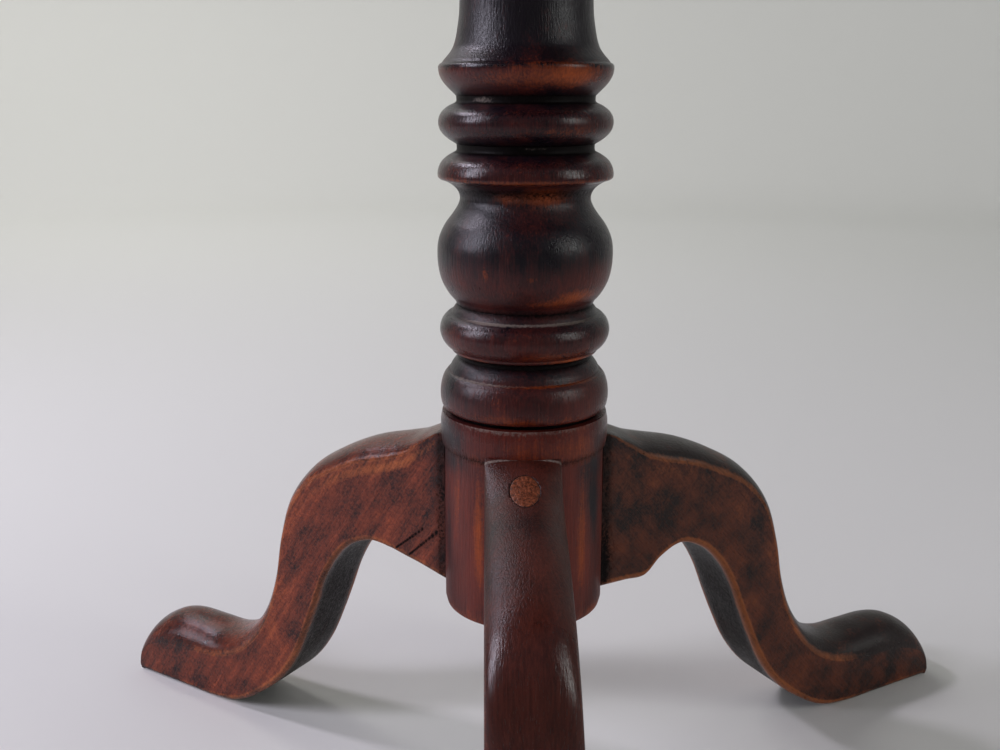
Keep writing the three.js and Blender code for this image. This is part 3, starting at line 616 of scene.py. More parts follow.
# patches where the stain is redder (above 0) or blacker (below 0); the two at height 178, left and
# right, are painted shadow under the collar
STAIN_AND_SHADOW_SPOTS = [
    (-68, 150, 16, 60, -0.3), (-42, 130, 9, 22, 0.3), (-33, 158, 7, 14, -0.45),
    (-48, 172, 12, 8, 0.2), (35, 150, 10, 40, 0.35), (52, 170, 12, 14, -0.5),
    (64, 130, 12, 40, -0.3), (0, 191, 34, 6, 0.12), (-64, 191, 22, 8, -0.3),
    (66, 190, 18, 8, -0.25), (60, 259, 26, 10, 0.16), (10, 276, 50, 9, -0.1),
    (-35, 210, 30, 6, -0.1), (30, 212, 26, 5, 0.08), (130, 150, 20, 40, -0.3),
    (-120, 140, 24, 40, 0.2), (175, 165, 20, 20, -0.3), (-150, 120, 16, 20, 0.3),
    (-58, 152, 7, 22, 0.35), (-24, 122, 5, 14, -0.3), (48, 140, 6, 24, 0.4),
    # the last two spots on the next line, at height 178, are painted shadow under the collar
    (58, 160, 6, 16, -0.45), (-50, 178, 30, 3, -0.35), (54, 178, 26, 3, -0.4),
    (-8, 262, 60, 5, 0.1), (-60, 282, 30, 10, -0.1), (70, 240, 30, 12, -0.12),
]


def spots(angle, height, marks):
    """Sum of soft spots: each is a bell in angle times a bell in height, times its strength."""
    total = np.zeros_like(angle)
    for at, up, wide, tall, strength in marks:
        off = (angle - at + 180) % 360 - 180
        total += strength * np.exp(-((off / wide) ** 2) - ((height - up) / tall) ** 2)
    return total


def proudness(line, width=4.5):
    """How far a profile stands out from its own average over `width` mm of height."""
    weights = np.exp(-(((line[:, None, 1] - line[None, :, 1]) / width) ** 2))
    step = np.linalg.norm(np.gradient(line, axis=0), axis=1)
    weights = weights * step[None, :]
    return line[:, 0] - (weights @ line[:, 0]) / weights.sum(1)


def mark_column(piece):
    """Stores tone, wear, darker places with painted shade, pale lines with painted glints, and
    rub, worked out from each vertex's angle and height.
    """
    x, y, z = points_of(piece).T
    angle = np.degrees(np.arctan2(x, -y))
    radius = np.hypot(x, y)
    outside = profile[1:-1]
    order = np.argsort(outside[:, 1], kind="stable")
    out = np.interp(z, outside[order, 1], proudness(outside)[order])
    inside = np.clip((np.interp(z, outside[order, 1], outside[order, 0]) - radius - 3) / 2, 0, 1)
    height, red = np.array(TONE_BY_HEIGHT).T
    side_shade = 0.1 * np.cos(np.radians(angle - 15)) - 0.07
    hub = (z < 199).astype(float)
    note(
        piece,
        tone=np.interp(z, height, red) + side_shade * (1 + hub) + 0.5 * inside
        + spots(angle, z, STAIN_AND_SHADOW_SPOTS),
        wear=(0.12 * np.clip(out / 2, 0, 1) + spots(angle, z, RUBBED_SPOTS)) * (z < 655),
        # darker in the hollows of the profile; the last term is a painted shadow line all round
        # just under the collar
        grime=np.clip((-out - 0.7) / 1.8, 0, 1.0) * (z < 655) * (1 - inside)
        + np.exp(-(((z - 182.9) / 0.9) ** 2)),
        dust=spots(angle, z, DUST_AND_GLINT_SPOTS) * ~((np.abs(z - 199) < 1.2) & (radius < 36.5)),
        rub=(0.35 + 0.55 * np.clip(out / 2, 0, 1)) * (z > 183.4) + 0.2,
    )


mark_column(column)

# %% [markdown]
# ## Joints in the column
#
# Each leg ends in a dovetail that slides up into a housing in the hub, so that its spread tries
# to pull the joint tight. The tenon on top of the column is sawn down and spread by a wedge. The
# housings and the kerf are cut here, because they show from underneath and from behind when the
# top is up.

# %% Dovetail housings and wedge kerf
HUB_RADIUS = 36.2
LEGS = {
    "front": {"azimuth": -89.5, "reach": 234, "bracket": True, "pared": 3},
    "right": {"azimuth": 28.5, "reach": 234, "bracket": True},
    "left": {"azimuth": 148.5, "reach": 222, "bracket": False},
}
DOVETAIL = {"deep": 14, "neck": 13, "wide": 19, "low": 105.8, "high": 175.6}
GAP = 0.3


def dovetail(name, play, low, high):
    """A dovetail key: a trapezium in plan, narrow at the hub's face, carried along Z."""
    inner, outer = HUB_RADIUS - DOVETAIL["deep"] - play, HUB_RADIUS + 2
    neck = DOVETAIL["neck"] / 2 + play
    flare = (DOVETAIL["wide"] - DOVETAIL["neck"]) / 2
    wide = neck + flare * (outer - inner) / (DOVETAIL["deep"] + 2)
    plan = np.array([(inner, -wide), (outer, -neck), (outer, neck), (inner, wide)])
    heights = np.array([low, high], float)[:, None, None]
    grid = np.concatenate([np.stack([plan, plan]), heights + 0 * plan[None, :, :1]], axis=-1)
    return skin(name, grid)


def wedge(name, play):
    """The tenon's wedge: a thin taper in YZ carried along X, thick edge up."""
    low, high = 667.2 - play, 691.2 + (1 if play else 0)
    thin, thick = 0.8 + play, 2 + play
    reach = 18 if play else 16.5
    return carried(name, [(-thin, low), (thin, low), (thick, high), (-thick, high)], -reach, reach)


for leg, facts in LEGS.items():
    housing = dovetail("housing", GAP, 104.5, DOVETAIL["high"] + GAP)
    join_or_cut(column, moved(housing, spin("Z", facts["azimuth"])))
join_or_cut(column, wedge("kerf", 0.15))
place(column, column_wood, "base", "column_wood", "column")

# %% [markdown]
# ## The cabriole legs
#
# A leg is sawn from a thick plank to the curve of a cabriole, then its top is rounded and its
# sides left nearly flat. It could be sculpted from a block, but the maker drew two lines on the
# plank, the upper and the lower one, and so does this cell. Twenty stations give both lines and
# the rise of the crown between its two edges, all as distances out from the hub and up from the
# floor. One leg has no bracket under its root.

# %% Stations of a leg
# (upper out, upper height, lower out, lower height, lower height with no bracket, crown rise)
STATIONS = np.array([
    (-12, 188, -12, 110, 111, 1), (0, 185, 0, 110, 114, 2), (10, 178.5, 11, 110, 117, 5.5),
    (21, 171.5, 22, 110, 119.5, 8), (32, 167.5, 31, 117.5, 121.5, 9),
    (50, 162.5, 43.5, 122.5, 122.5, 9), (68, 154.5, 58, 117, 117, 9),
    (84, 145, 68, 107.5, 107.5, 8.5), (97, 130, 77, 93.5, 93.5, 8),
    (105, 108.5, 85, 75, 75, 7.5), (110, 86, 91.5, 60.5, 60.5, 7.5),
    (117.5, 66, 101, 42, 42, 8), (129, 48, 113, 26.5, 26.5, 9),
    (143, 35.5, 129, 13.5, 13.5, 10.5), (160, 28, 148, 3, 3, 12.5),
    (178, 25.5, 168, 0, 0, 15), (197, 24.5, 189, 0, 0, 15.5), (212, 22, 208, 0, 0, 13.5),
    (223, 17.5, 219.5, 0, 0, 10.5), (229.5, 10.5, 227, 0, 0, 6.5), (231.5, 3.5, 230, 0, 0, 1.5),
])
PATTERN_REACH = 234  # the reach that the stations are drawn for
LEG_HALF = 17.75
LEG_RINGS = 300
CROWN_POINTS, FLANK_POINTS, SOLE_POINTS, CORNER_POINTS = 44, 46, 14, 5
CORNER = 2.6  # radius of the lower edges
CROWN_POWER = 0.55  # 1 is a parabola, 0.5 a half ellipse
SCRIBE = HUB_RADIUS + 0.25  # the roots are scribed to the hub
COLLAR_SCRIBE = 37.7


def unit_section():
    """The section as one loop: over the crown, down one flank, round the corner, along the sole
    and back up. Columns: share of the half width, share of the corner radius pulled in, share of
    the height between the lines, share of the corner radius lifted, share of the crown."""
    side = -np.cos(np.linspace(0, np.pi, CROWN_POINTS))
    one, none = np.ones_like, np.zeros_like
    crown = np.stack([side, none(side), one(side), one(side), (1 - side**2) ** CROWN_POWER], 1)
    down = (1 + np.cos(np.linspace(0, np.pi, FLANK_POINTS)))[1:] / 2
    flank = np.stack([one(down), none(down), down, one(down), none(down)], 1)
    bend = np.linspace(0, np.pi / 2, CORNER_POINTS + 1)[1:]
    corner = np.stack([one(bend), 1 - np.cos(bend), none(bend), 1 - np.sin(bend), none(bend)], 1)
    over = np.linspace(1, -1, SOLE_POINTS)[1:-1]
    sole = np.stack([over, over, none(over), none(over), none(over)], 1)
    back = np.concatenate([flank, corner])[::-1] * [-1, -1, 1, 1, 1]
    return np.concatenate([crown, flank, corner, sole, back])


SECTION = unit_section()


def leg_lines(reach, bracket, at):
    """Upper line with its crown, and lower line, at the parameters `at` from 0 to 1."""
    stretch = reach / PATTERN_REACH
    upper = np.stack([HUB_RADIUS + STATIONS[:, 0] * stretch, STATIONS[:, 5], STATIONS[:, 1]], 1)
    height = STATIONS[:, 3] if bracket else STATIONS[:, 4]
    lower = np.stack([HUB_RADIUS + STATIONS[:, 2] * stretch, 0 * height, height], 1)
    return curve_through(upper, at), curve_through(lower, at)


def leg_grid(reach, bracket, pared=0):
    """Hangs the section between the two lines: low point + direction up to the high point times
    the height of each section point. A point starts where the lines cross the hub's cylinder at
    its own distance from the leg's middle, so that the root follows the hub. One cheek may be
    pared in by a few millimetres at the root."""
    wide, pull, share, lift, rise = SECTION.T
    fine = np.linspace(0, 0.12, 400)
    upper, lower = leg_lines(reach, bracket, fine)
    scribe = np.where(share > 0.97, COLLAR_SCRIBE, SCRIBE)
    wanted = np.sqrt(scribe**2 - (wide * LEG_HALF) ** 2)
    first = np.interp(wanted, (upper[:, 0] + lower[:, 0]) / 2, fine)
    at = first + (1 - first) * np.linspace(0, 1, LEG_RINGS)[:, None]
    upper, lower = (line.reshape(*at.shape, 3) for line in leg_lines(reach, bracket, at.ravel()))
    crown = upper[..., 1]
    run = upper[..., [0, 2]] - lower[..., [0, 2]]
    length = np.linalg.norm(run, axis=-1)
    corner = np.minimum(CORNER, length / 3)
    height = share * (length - corner) + lift * corner + rise * crown
    plan = lower[..., [0, 2]] + run / length[..., None] * height[..., None]
    across = wide * LEG_HALF - pull * corner
    across = across - pared * np.clip(wide, 0, 1) * np.clip((plan[..., 1] - 115) / 60, 0, 1)
    grid = np.stack([plan[..., 0], across, np.maximum(plan[..., 1], 0)], axis=-1)
    grid[0, :, 0] = np.sqrt(scribe**2 - grid[0, :, 1] ** 2)
    return grid, length


def root_face(ring, rows=6):
    """Closes the root: the first ring shrunk towards its middle in steps, each point laid back
    on the hub's cylinder."""
    middle = np.array([0, 0, (ring[:, 2].min() + ring[:, 2].max()) / 2])
    shares = np.linspace(0, 1, rows + 2)[1:-1][:, None, None]
    inner = middle + (ring - middle)[None] * shares
    radius = np.hypot(ring[:, 0], ring[:, 1])[None]
    inner[..., 0] = np.sqrt(radius**2 - inner[..., 1] ** 2)
    return inner, (SCRIBE, 0, middle[2])


# %% [markdown]
# The polish of a leg follows its edges. Feet and dusters rub the long edges down to orange wood,
# the crown keeps a grey gloss of wax, the flanks are mottled where the finish has perished, the
# finish is darker where the root meets the hub, and the underside is painted near-black as shade.
# On one leg two old cracks run from the bottom of the root up to the hub.

# %% Wear and painted shade of the legs
# tones of crown, flank and underside (the underside's low tone is painted shade), wear of the
# upper and lower edges, of a band under the upper edge, and how far the crown is polished
LEG_AGE = {
    "front": {"tones": (0.46, 0.4, -0.3), "edges": (0.2, 0.5), "band": 0.1, "polish": 0.5},
    "right": {"tones": (-0.12, 0.42, -0.3), "edges": (0.75, 0.95), "band": 0.2, "polish": 0.6},
    "left": {"tones": (0.3, 0.52, -0.3), "edges": (0.45, 0.55), "band": 0.7, "polish": 0.95},
}
CRACKS = [((31, 118), (9, 136)), ((20, 118.5), (1, 136))]  # out from the hub face, height
CRACK_WIDTH = 0.62  # mm


def line_distance(out, height, line):
    """Distance from points to a line between two marks, in the plane of the leg's flank."""
    (x0, z0), (x1, z1) = line
    length = np.hypot(x1 - x0, z1 - z0)
    along = ((out - x0) * (x1 - x0) + (height - z0) * (z1 - z0)) / length**2
    along = np.clip(along, 0, 1)
    return np.hypot(out - x0 - along * (x1 - x0), height - z0 - along * (z1 - z0))


def leg_marks(leg, grid, length):
    """Tone, wear, darker places with painted shade, pale lines with painted glints, and rub for
    each point of a leg's grid.
    """
    wide, pull, share = SECTION.T[:3]
    age = LEG_AGE[leg]
    out = grid[..., 0] - HUB_RADIUS
    height = grid[..., 2]
    over = share == 1
    on_flank = (np.abs(wide) == 1) & (share < 1) & (pull == 0)
    under = (share == 0) & ~on_flank
    # the underside's tone is set low as painted shade
    crown_tone, flank_tone, underside_shade_tone = age["tones"]
    tone = np.where(over, crown_tone, np.where(under, underside_shade_tone, flank_tone)) + 0 * out
    from_top = np.where(over, (1 - np.abs(wide)) * LEG_HALF, (1 - share) * length)
    from_low = np.where(under, (1 - np.abs(wide)) * LEG_HALF, share * length)
    upper_edge, lower_edge = age["edges"]
    foot = np.clip((out - 150) / 40, 0, 1)
    wear = upper_edge * np.exp(-((from_top / 0.9) ** 2)) * (1 - 0.9 * foot)
    wear = wear + lower_edge * np.exp(-((from_low / 1.0) ** 2)) * (1 - 0.6 * foot)
    band = np.exp(-(((from_top - 4.5) / 3.2) ** 2)) * on_flank
    wear = wear + age["band"] * band * np.exp(-(((out - 30) / 42) ** 2))
    shin = np.exp(-(((out - 112) / 26) ** 2)) * on_flank
    wear = wear + 0.12 * shin
    tone = tone + 0.12 * shin - 0.1 * foot
    # the finish is made darker within a few millimetres of the hub
    dark_at_hub = np.exp(-((out + 1) / 3.0)) * (np.abs(out) < 30)
    grime = 0.55 * np.clip(dark_at_hub, 0, 1)
    # painted shade: the underside is darkened to near-black, except close to its edges
    grime = grime + 0.62 * under * (1 - np.exp(-((from_low / 3) ** 2)))
    dust = 0 * out
    rub = np.where(over, age["polish"], np.where(under, 0.6, 0.2)) + 0 * out
    if leg == "left":
        facing = on_flank & (wide > 0)
        for crack in CRACKS:
            off = line_distance(out, height, crack) / CRACK_WIDTH
            grime = grime + facing * 0.95 * np.exp(-(off**2))
        tone = tone + 0.16 * facing * np.exp(-(((out - 8) / 9) ** 2) - (((height - 122) / 6) ** 2))
    if leg == "right":
        grime = grime + 0.18 * on_flank * np.exp(-(((from_low - 12) / 14) ** 2))
    if leg == "front":
        rub = rub - over * np.interp(out, [0, 55, 74, 92], [0, 0.25, 0.2, -0.65])
        grime = grime - 0.35 * np.clip(dark_at_hub, 0, 1) * over
        # a pale line across the crown at the hub, partly dust and partly a painted glint
        dust = 0.9 * over * np.exp(-(((out - 0.6) / 1.0) ** 2))
        tone = tone - 0.12 * np.clip(-wide, 0, 1) * over
        tone = tone - 0.22 * over * np.exp(-(((out - 40) / 12) ** 2) - ((wide / 0.7) ** 2))
    return {"tone": tone, "wear": wear, "grime": grime, "dust": dust, "rub": rub}


# %% [markdown]
# The three legs share one pattern, and each keeps its own colour: the grain of each plank runs
# down and out along its own leg, so each has its own finish with its own direction.

# %% Leg finishes
leg_woods = {
    "front": waxed_wood(
        "waxed_mahogany_front_leg", "#160a0c", "#5e2a1e", "#8a4424", turn=-89.5, slope=62,
        streak=1.0, mottle=0.35, stretch=0.6, crackle=0.14, fleck=1.1, grain=0.25,
    ),
    "right": waxed_wood(
        "waxed_mahogany_right_leg", "#1d100d", "#743922", "#94522a", turn=28.5, slope=48,
        streak=1.3, mottle=0.8, stretch=0.9, cloud=15, crackle=0.26, fleck=1.4, grain=0.12,
        knocked=1.2,
    ),
    "left": waxed_wood(
        "waxed_mahogany_left_leg", "#240d0d", "#8c3f28", "#b26336", turn=148.5, slope=55,
        streak=1.7, mottle=0.75, stretch=0.5, cloud=11, crackle=0.34, fleck=1.5, grain=0.26,
        knocked=1.5,
    ),
}
print("leg finishes:", [wood.name for wood in leg_woods.values()])

# %% [markdown]
# ## Making the legs
#
# Each leg is made along X, gets its marks, then its dovetail key is joined on and it is turned to
# its place round the hub. The front leg is also screwed to the hub. Its screw lies in a hole
# closed by a wooden plug, which was pared off flush with the crown, so the plug is cut out of
# the very leg that it fills.

# %% Legs, plug and its hole
PLUG = {"radius": 6.2, "aside": -1.2, "out": 20.3, "height": 180, "slope": 20, "deep": 8}


def plug_line(piece):
    """Lays something made about Z, mouth down, on the sloping line of plug and screw."""
    mouth = (HUB_RADIUS + PLUG["out"], PLUG["aside"], PLUG["height"])
    raised = moved(piece, shift=(0, 0, PLUG["deep"] + 1))
    return moved(raised, spin("Y", -90 - PLUG["slope"]), mouth)


def make_leg(leg, reach, bracket, pared=0):
    """One closed leg along X, with its marks stored and its key joined on."""
    grid, length = leg_grid(reach, bracket, pared)
    inner, centre = root_face(grid[0])
    whole = np.concatenate([inner, grid])
    toe = grid[-1].mean(0)
    piece = skin("carved_leg_" + leg, whole, centre, toe, crease=48)
    marks = leg_marks(leg, grid, length)
    for name, values in marks.items():
        root = np.repeat(values[:1], len(inner), axis=0)
        marks[name] = np.append(np.concatenate([root, values]).ravel(), [0, 0])
    note(piece, **marks)
    return join_or_cut(piece, dovetail("key", 0, DOVETAIL["low"], DOVETAIL["high"]), "UNION")


for leg, facts in LEGS.items():
    piece = make_leg(leg, facts["reach"], facts["bracket"], facts.get("pared", 0))
    if leg == "front":
        plug = plug_line(rod("leg_plug_pared", PLUG["radius"] - 0.05, -21, -1, 72))
        solid_leg = piece.copy()
        solid_leg.data = piece.data.copy()
        bpy.context.scene.collection.objects.link(solid_leg)
        join_or_cut(plug, solid_leg, "INTERSECT")
        drill = plug_line(rod("drill", PLUG["radius"] + 0.12, -30, 0.5, 72))
        join_or_cut(piece, drill)
        moved(plug, spin("Z", facts["azimuth"]))
    moved(piece, spin("Z", facts["azimuth"]))
    place(piece, leg_woods[leg], "base", "leg_wood", "leg_" + leg)

plug_wood = waxed_wood(
    "end_grain_plug", "#34180f", "#8c4d33", "#8c4d33", turn=-89.5, slope=70, streak=0.9,
    gloss=0.42, mottle=0.3, pore=0.95, stretch=0.2, cloud=5, crackle=0.3, grain=0.7, flat_tone=0.6,
)
place(plug, plug_wood, "base", "plug_wood", "leg_plug")

# %% [markdown]
# ## Bare wood under the top
#
# Nobody polishes what nobody sees. The pivot block, the bearers and the underside of the boards
# are the same kind of wood, planed and left to dry and darken. So this finish has no wax gloss:
# it is rough, paler along the raised grain and grey-brown with dust.

# %% Bare wood
def bare_wood(name, pale, dark, turn=0, slope=0, streak=1.6):
    """Planed, unpolished wood: streaks along the grain, short dark pores and broad stains."""
    material, tree, shader = new_finish(name)
    here = add(tree, "TexCoord").outputs["Object"]
    faced = add(tree, "Mapping", {"Vector": here, "Rotation": (0, 0, -np.radians(turn))})
    plank = add(
        tree, "Mapping", {"Vector": faced.outputs[0], "Rotation": (0, np.radians(-slope), 0)}
    ).outputs[0]
    along = add(tree, "Mapping", {"Vector": plank, "Scale": (0.03, 1, 1)}).outputs[0]
    dashes = add(tree, "Mapping", {"Vector": plank, "Scale": (0.1, 1, 1)}).outputs[0]
    streaks = add(
        tree, "TexNoise",
        {"Vector": along, "Scale": 1 / (streak * MM), "Detail": 5, "Roughness": 0.65},
    ).outputs["Fac"]
    pores = add(
        tree, "TexNoise",
        {"Vector": dashes, "Scale": 1 / (0.6 * MM), "Detail": 2, "Roughness": 0.5},
    ).outputs["Fac"]
    stains = add(
        tree, "TexNoise", {"Vector": here, "Scale": 1 / (60 * MM), "Detail": 4, "Roughness": 0.55}
    ).outputs["Fac"]
    stained = add(
        tree, "Math", {0: stains, 1: 0.55, 2: -0.25}, operation="MULTIPLY_ADD"
    ).outputs[0]
    shade = add(tree, "Math", {0: streaks, 1: stained}, operation="ADD").outputs[0]
    wood = add(
        tree, "ValToRGB", {"Fac": shade},
        ramp=[(0.25, linear(dark)), (0.5, mixed(dark, pale, 0.55)), (0.78, linear(pale))],
    ).outputs[0]
    pore_mask = add(tree, "MapRange", {"Value": pores, 1: 0.58, 2: 0.7, 4: 0.7}).outputs[0]
    coloured = add(
        tree, "Mix", {MIX: pore_mask, FIRST: wood, SECOND: linear("#241610")}, data_type="RGBA"
    ).outputs[MIXED]
    rough = add(tree, "MapRange", {"Value": streaks, 1: 0.3, 2: 0.7, 3: 0.78, 4: 0.6}).outputs[0]
    relief = add(
        tree, "Math", {0: pore_mask, 1: -0.7, 2: streaks}, operation="MULTIPLY_ADD"
    ).outputs[0]
    bump = add(
        tree, "Bump", {"Height": relief, "Strength": 0.6, "Distance": RELIEF_DEPTH * MM}
    ).outputs[0]
    shader.inputs["Specular IOR Level"].default_value = 0.35
    tree.links.new(coloured, shader.inputs["Base Color"])
    tree.links.new(rough, shader.inputs["Roughness"])
    tree.links.new(bump, shader.inputs["Normal"])
    return material


block_wood = bare_wood("planed_mahogany_block", "#7d5436", "#46291b", turn=90)
bearer_wood = bare_wood("planed_mahogany_bearers", "#6a4029", "#34190f", turn=90, streak=1.3)
board_bare = bare_wood("planed_mahogany_underside", "#7a4c30", "#43251a", streak=2.0)
wedge_wood = bare_wood("split_oak_wedge", "#8d6a45", "#5b3e26", slope=90, streak=0.9)
print("bare woods made")

# %% [markdown]
# ## Pivot block
#
# The block caps the column and carries two round pintles, the axle of the whole top. Its upper
# back edge is rounded about the same axis, or it would jam against the boards as the top tips.
# The outline is therefore a quarter circle about the pintles' line, carried along X.

# %% Pivot block, keeper and wedge
BLOCK = {"half": 70, "front": -70, "back": 70, "low": 659.7, "high": 691.7}
PINTLE = {"y": 54, "z": 675.7, "radius": 9, "half": 98, "rim": 0.6, "end": 0.7}
BLOCK_ROUND = 16  # radius of the back edge about the pintles
KEEPER_RECESS = ((-22.2, -72, 675.5), (22.2, -67.8, 694))
BOLT_MORTISE = ((-5.5, -72, 678), (5.5, -62, 686))


def rod_along(name, axis, radius, low, high, y=0, z=0, x=0, around=64):
    """A cylinder along X or Y at the given centre line."""
    piece = rod(name, radius, low, high, around)
    turn = spin("Y", 90) if axis == "X" else spin("X", -90)
    return moved(piece, turn, (x, y, z))


quarter = np.radians(np.linspace(0, 90, 25))
block_outline = [(BLOCK["front"], BLOCK["low"] + 5), (BLOCK["front"] + 5, BLOCK["low"])]
block_outline += [(BLOCK["back"], BLOCK["low"])]
block_outline += np.stack(
    [PINTLE["y"] + BLOCK_ROUND * np.cos(quarter), PINTLE["z"] + BLOCK_ROUND * np.sin(quarter)], 1
).tolist()
block_outline += [(BLOCK["front"], BLOCK["high"])]
block = carried("pivot_block_planed", block_outline, -BLOCK["half"], BLOCK["half"])
half, radius = PINTLE["half"], PINTLE["radius"]
rim, end = radius - PINTLE["rim"], half - PINTLE["end"]
pintles = [[0, -half], [rim, -half], [radius, -end], [radius, end], [rim, half], [0, half]]
axle = moved(turned("pintles", pintles, 72), spin("Y", 90), (0, PINTLE["y"], PINTLE["z"]))
join_or_cut(block, axle, "UNION")
join_or_cut(block, rod("tenon_bore", 17.15, 655, 695, 96))
join_or_cut(block, box("keeper_recess", *KEEPER_RECESS))
join_or_cut(block, box("bolt_mortise", *BOLT_MORTISE))
ease_edges(block, 0.7)
place(block, block_wood, "base", "block_wood", "pivot_block")

tenon_wedge = wedge("tenon_wedge_driven", 0)
ease_edges(tenon_wedge, 0.15, 1)
place(tenon_wedge, wedge_wood, "base", "block_wood", "tenon_wedge")

# %% [markdown]
# ## Three boards
#
# The top is three boards glued edge to edge and then turned or sawn round, with a soft rounded
# rim. A cylinder would do for a disc but not for its boards. Each board here is a loft: a cut at
# every distance y from front to back. At each cut the board is a loop in XZ, flat below, round
# at the rim, flat above. The rim's radius r and height z lie on an ellipse 8 mm deep and 19 mm
# high, so the half length of the cut is the square root of r squared less y squared.

# %% Top boards
TOP = {"radius": 330, "under": 692, "high": 711, "round": 8, "joint": 110}


def board_grid(low_angle, high_angle, cuts, across=46, rim=15):
    """Grid of a board between two angles of the rim, measured from the front: y is minus the
    radius times the cosine of the angle."""
    angle = np.linspace(low_angle, high_angle, cuts)
    y = -TOP["radius"] * np.cos(angle)
    y = np.clip(y, -TOP["radius"] + 1e-4, TOP["radius"] - 1e-4)[:, None]
    flat_radius = TOP["radius"] - TOP["round"]
    beyond = np.clip((np.abs(y) - flat_radius) / TOP["round"], 0, 1)
    half = (TOP["high"] - TOP["under"]) / 2 * np.sqrt(1 - beyond**2)
    bend = np.linspace(-np.pi / 2, np.pi / 2, rim)
    level = np.sin(bend)
    flat = np.linspace(1, -1, across)[1:-1]
    level_loop = np.concatenate([level, 0 * flat + 1, level[::-1], 0 * flat - 1])
    side_loop = np.concatenate([0 * level + 1, flat, 0 * level - 1, -flat])
    z = half * level_loop
    height = (TOP["high"] - TOP["under"]) / 2
    radius = flat_radius + TOP["round"] * np.sqrt(np.clip(1 - (z / height) ** 2, 0, 1))
    x = side_loop * np.sqrt(np.clip(radius**2 - y**2, 0, None))
    middle = (TOP["high"] + TOP["under"]) / 2
    return np.stack([x, y + 0 * x, middle + z], axis=-1)


def board_wear(piece, shade):
    """Marks of a table top: a rubbed rim, slow waves of colour, and each board its own shade."""
    x, y, z = points_of(piece).T
    out = np.hypot(x, y)
    rim = np.exp(-(((out - 329) / 3.5) ** 2))
    note(
        piece,
        tone=0.55 + shade + 0.1 * np.cos(x / 90 + y / 60) + 0.05 * np.sin(y / 23),
        wear=0.4 * rim * (z > 696),
        grime=0.1 * np.exp(-(((out - 318) / 8) ** 2)),
        dust=0 * x,
        rub=0 * x + 0.55,
    )


board_polish = waxed_wood(
    "waxed_mahogany_top", "#2a120d", "#75381f", "#a65a2c", slope=0, streak=2.2, gloss=0.4,
    mottle=0.4, pore=0.45, stretch=0.12, cloud=24, grain=0.5, knocked=0.15,
)
joint_angle = float(np.arccos(TOP["joint"] / TOP["radius"]))
play = 0.1 / TOP["radius"]
BOARDS = {
    "front": (0, joint_angle - play, 110, -0.1),
    "middle": (joint_angle + play, np.pi - joint_angle - play, 60, 0.12),
    "back": (np.pi - joint_angle + play, np.pi, 110, 0.0),
}
for name, (low_angle, high_angle, cuts, shade) in BOARDS.items():
    grid = board_grid(low_angle, high_angle, cuts)
    front_pole = (0, -TOP["radius"], 701.5) if name == "front" else None
    back_pole = (0, TOP["radius"], 701.5) if name == "back" else None
    board = skin("top_board_" + name + "_polished", grid, front_pole, back_pole, crease=50)
    board_wear(board, shade)
    board.data.materials.append(board_polish)
    board.data.materials.append(board_bare)
    normals = np.zeros(len(board.data.polygons) * 3)
    board.data.polygons.foreach_get("normal", normals)
    below = (normals.reshape(-1, 3)[:, 2] < -0.72).astype(np.int32)
    board.data.polygons.foreach_set("material_index", below)
    place(board, board_polish, "top", "top_wood", "top_board_" + name)

# %% [markdown]
# ## Bearers
#
# Two bearers screwed across the boards keep the top flat and hold the pintles. Each is deep in
# the middle and sweeps up to thin ends, so that the rim looks light. The sweep is half a cosine
# wave from full depth to tip depth. Round wells take the screws, which go up into the boards.

# %% Bearers
BEARER = {"x": 85, "half_width": 14, "top": 691.7, "deep": 34, "tip": 13, "taper": 95, "inset": 45}
outer_face = BEARER["x"] + BEARER["half_width"]
bearer_half = float(np.sqrt(TOP["radius"] ** 2 - outer_face**2)) - BEARER["inset"]
SCREW_ROWS = (75 - bearer_half, -75.0, 85.0, bearer_half - 75)
WELL = [[0, 650], [4.9, 650], [4.9, 670.4], [2.7, 672.7], [2.7, 684], [0, 684]]


def bearer_outline():
    """Outline in YZ: straight on top, and below two cosine sweeps with a level stretch."""
    share = np.linspace(0, 1, 28)
    ease = (1 - np.cos(np.pi * share)) / 2
    drop = BEARER["tip"] + (BEARER["deep"] - BEARER["tip"]) * ease
    sweep_y = -bearer_half + BEARER["taper"] * share
    front = np.stack([sweep_y, BEARER["top"] - drop], 1)
    back = np.stack([-sweep_y, BEARER["top"] - drop], 1)[::-1]
    ends = [(bearer_half, BEARER["top"]), (-bearer_half, BEARER["top"])]
    return np.concatenate([front, back, ends])


for side, x in (("left", -BEARER["x"]), ("right", BEARER["x"])):
    low, high = x - BEARER["half_width"], x + BEARER["half_width"]
    bearer = carried("bearer_" + side + "_planed", bearer_outline(), low, high)
    socket = rod_along("socket", "X", 9.4, low - 1, high + 1, PINTLE["y"], PINTLE["z"])
    join_or_cut(bearer, socket)
    for y in SCREW_ROWS:
        join_or_cut(bearer, turned("well", WELL, 40, (x, y)))
    ease_edges(bearer, 0.9)
    place(bearer, bearer_wood, "top", "bearer_wood", "bearer_" + side)

# %% [markdown]
# ## Metals
#
# The catch is cast and filed brass, tarnished brown in its corners and bright where the thumb
# works it. The wood screws of the bearers are black iron with a little rust. Both are metals, so
# their colour lives in the reflection: metallic is 1 and only the roughness and a tint vary.

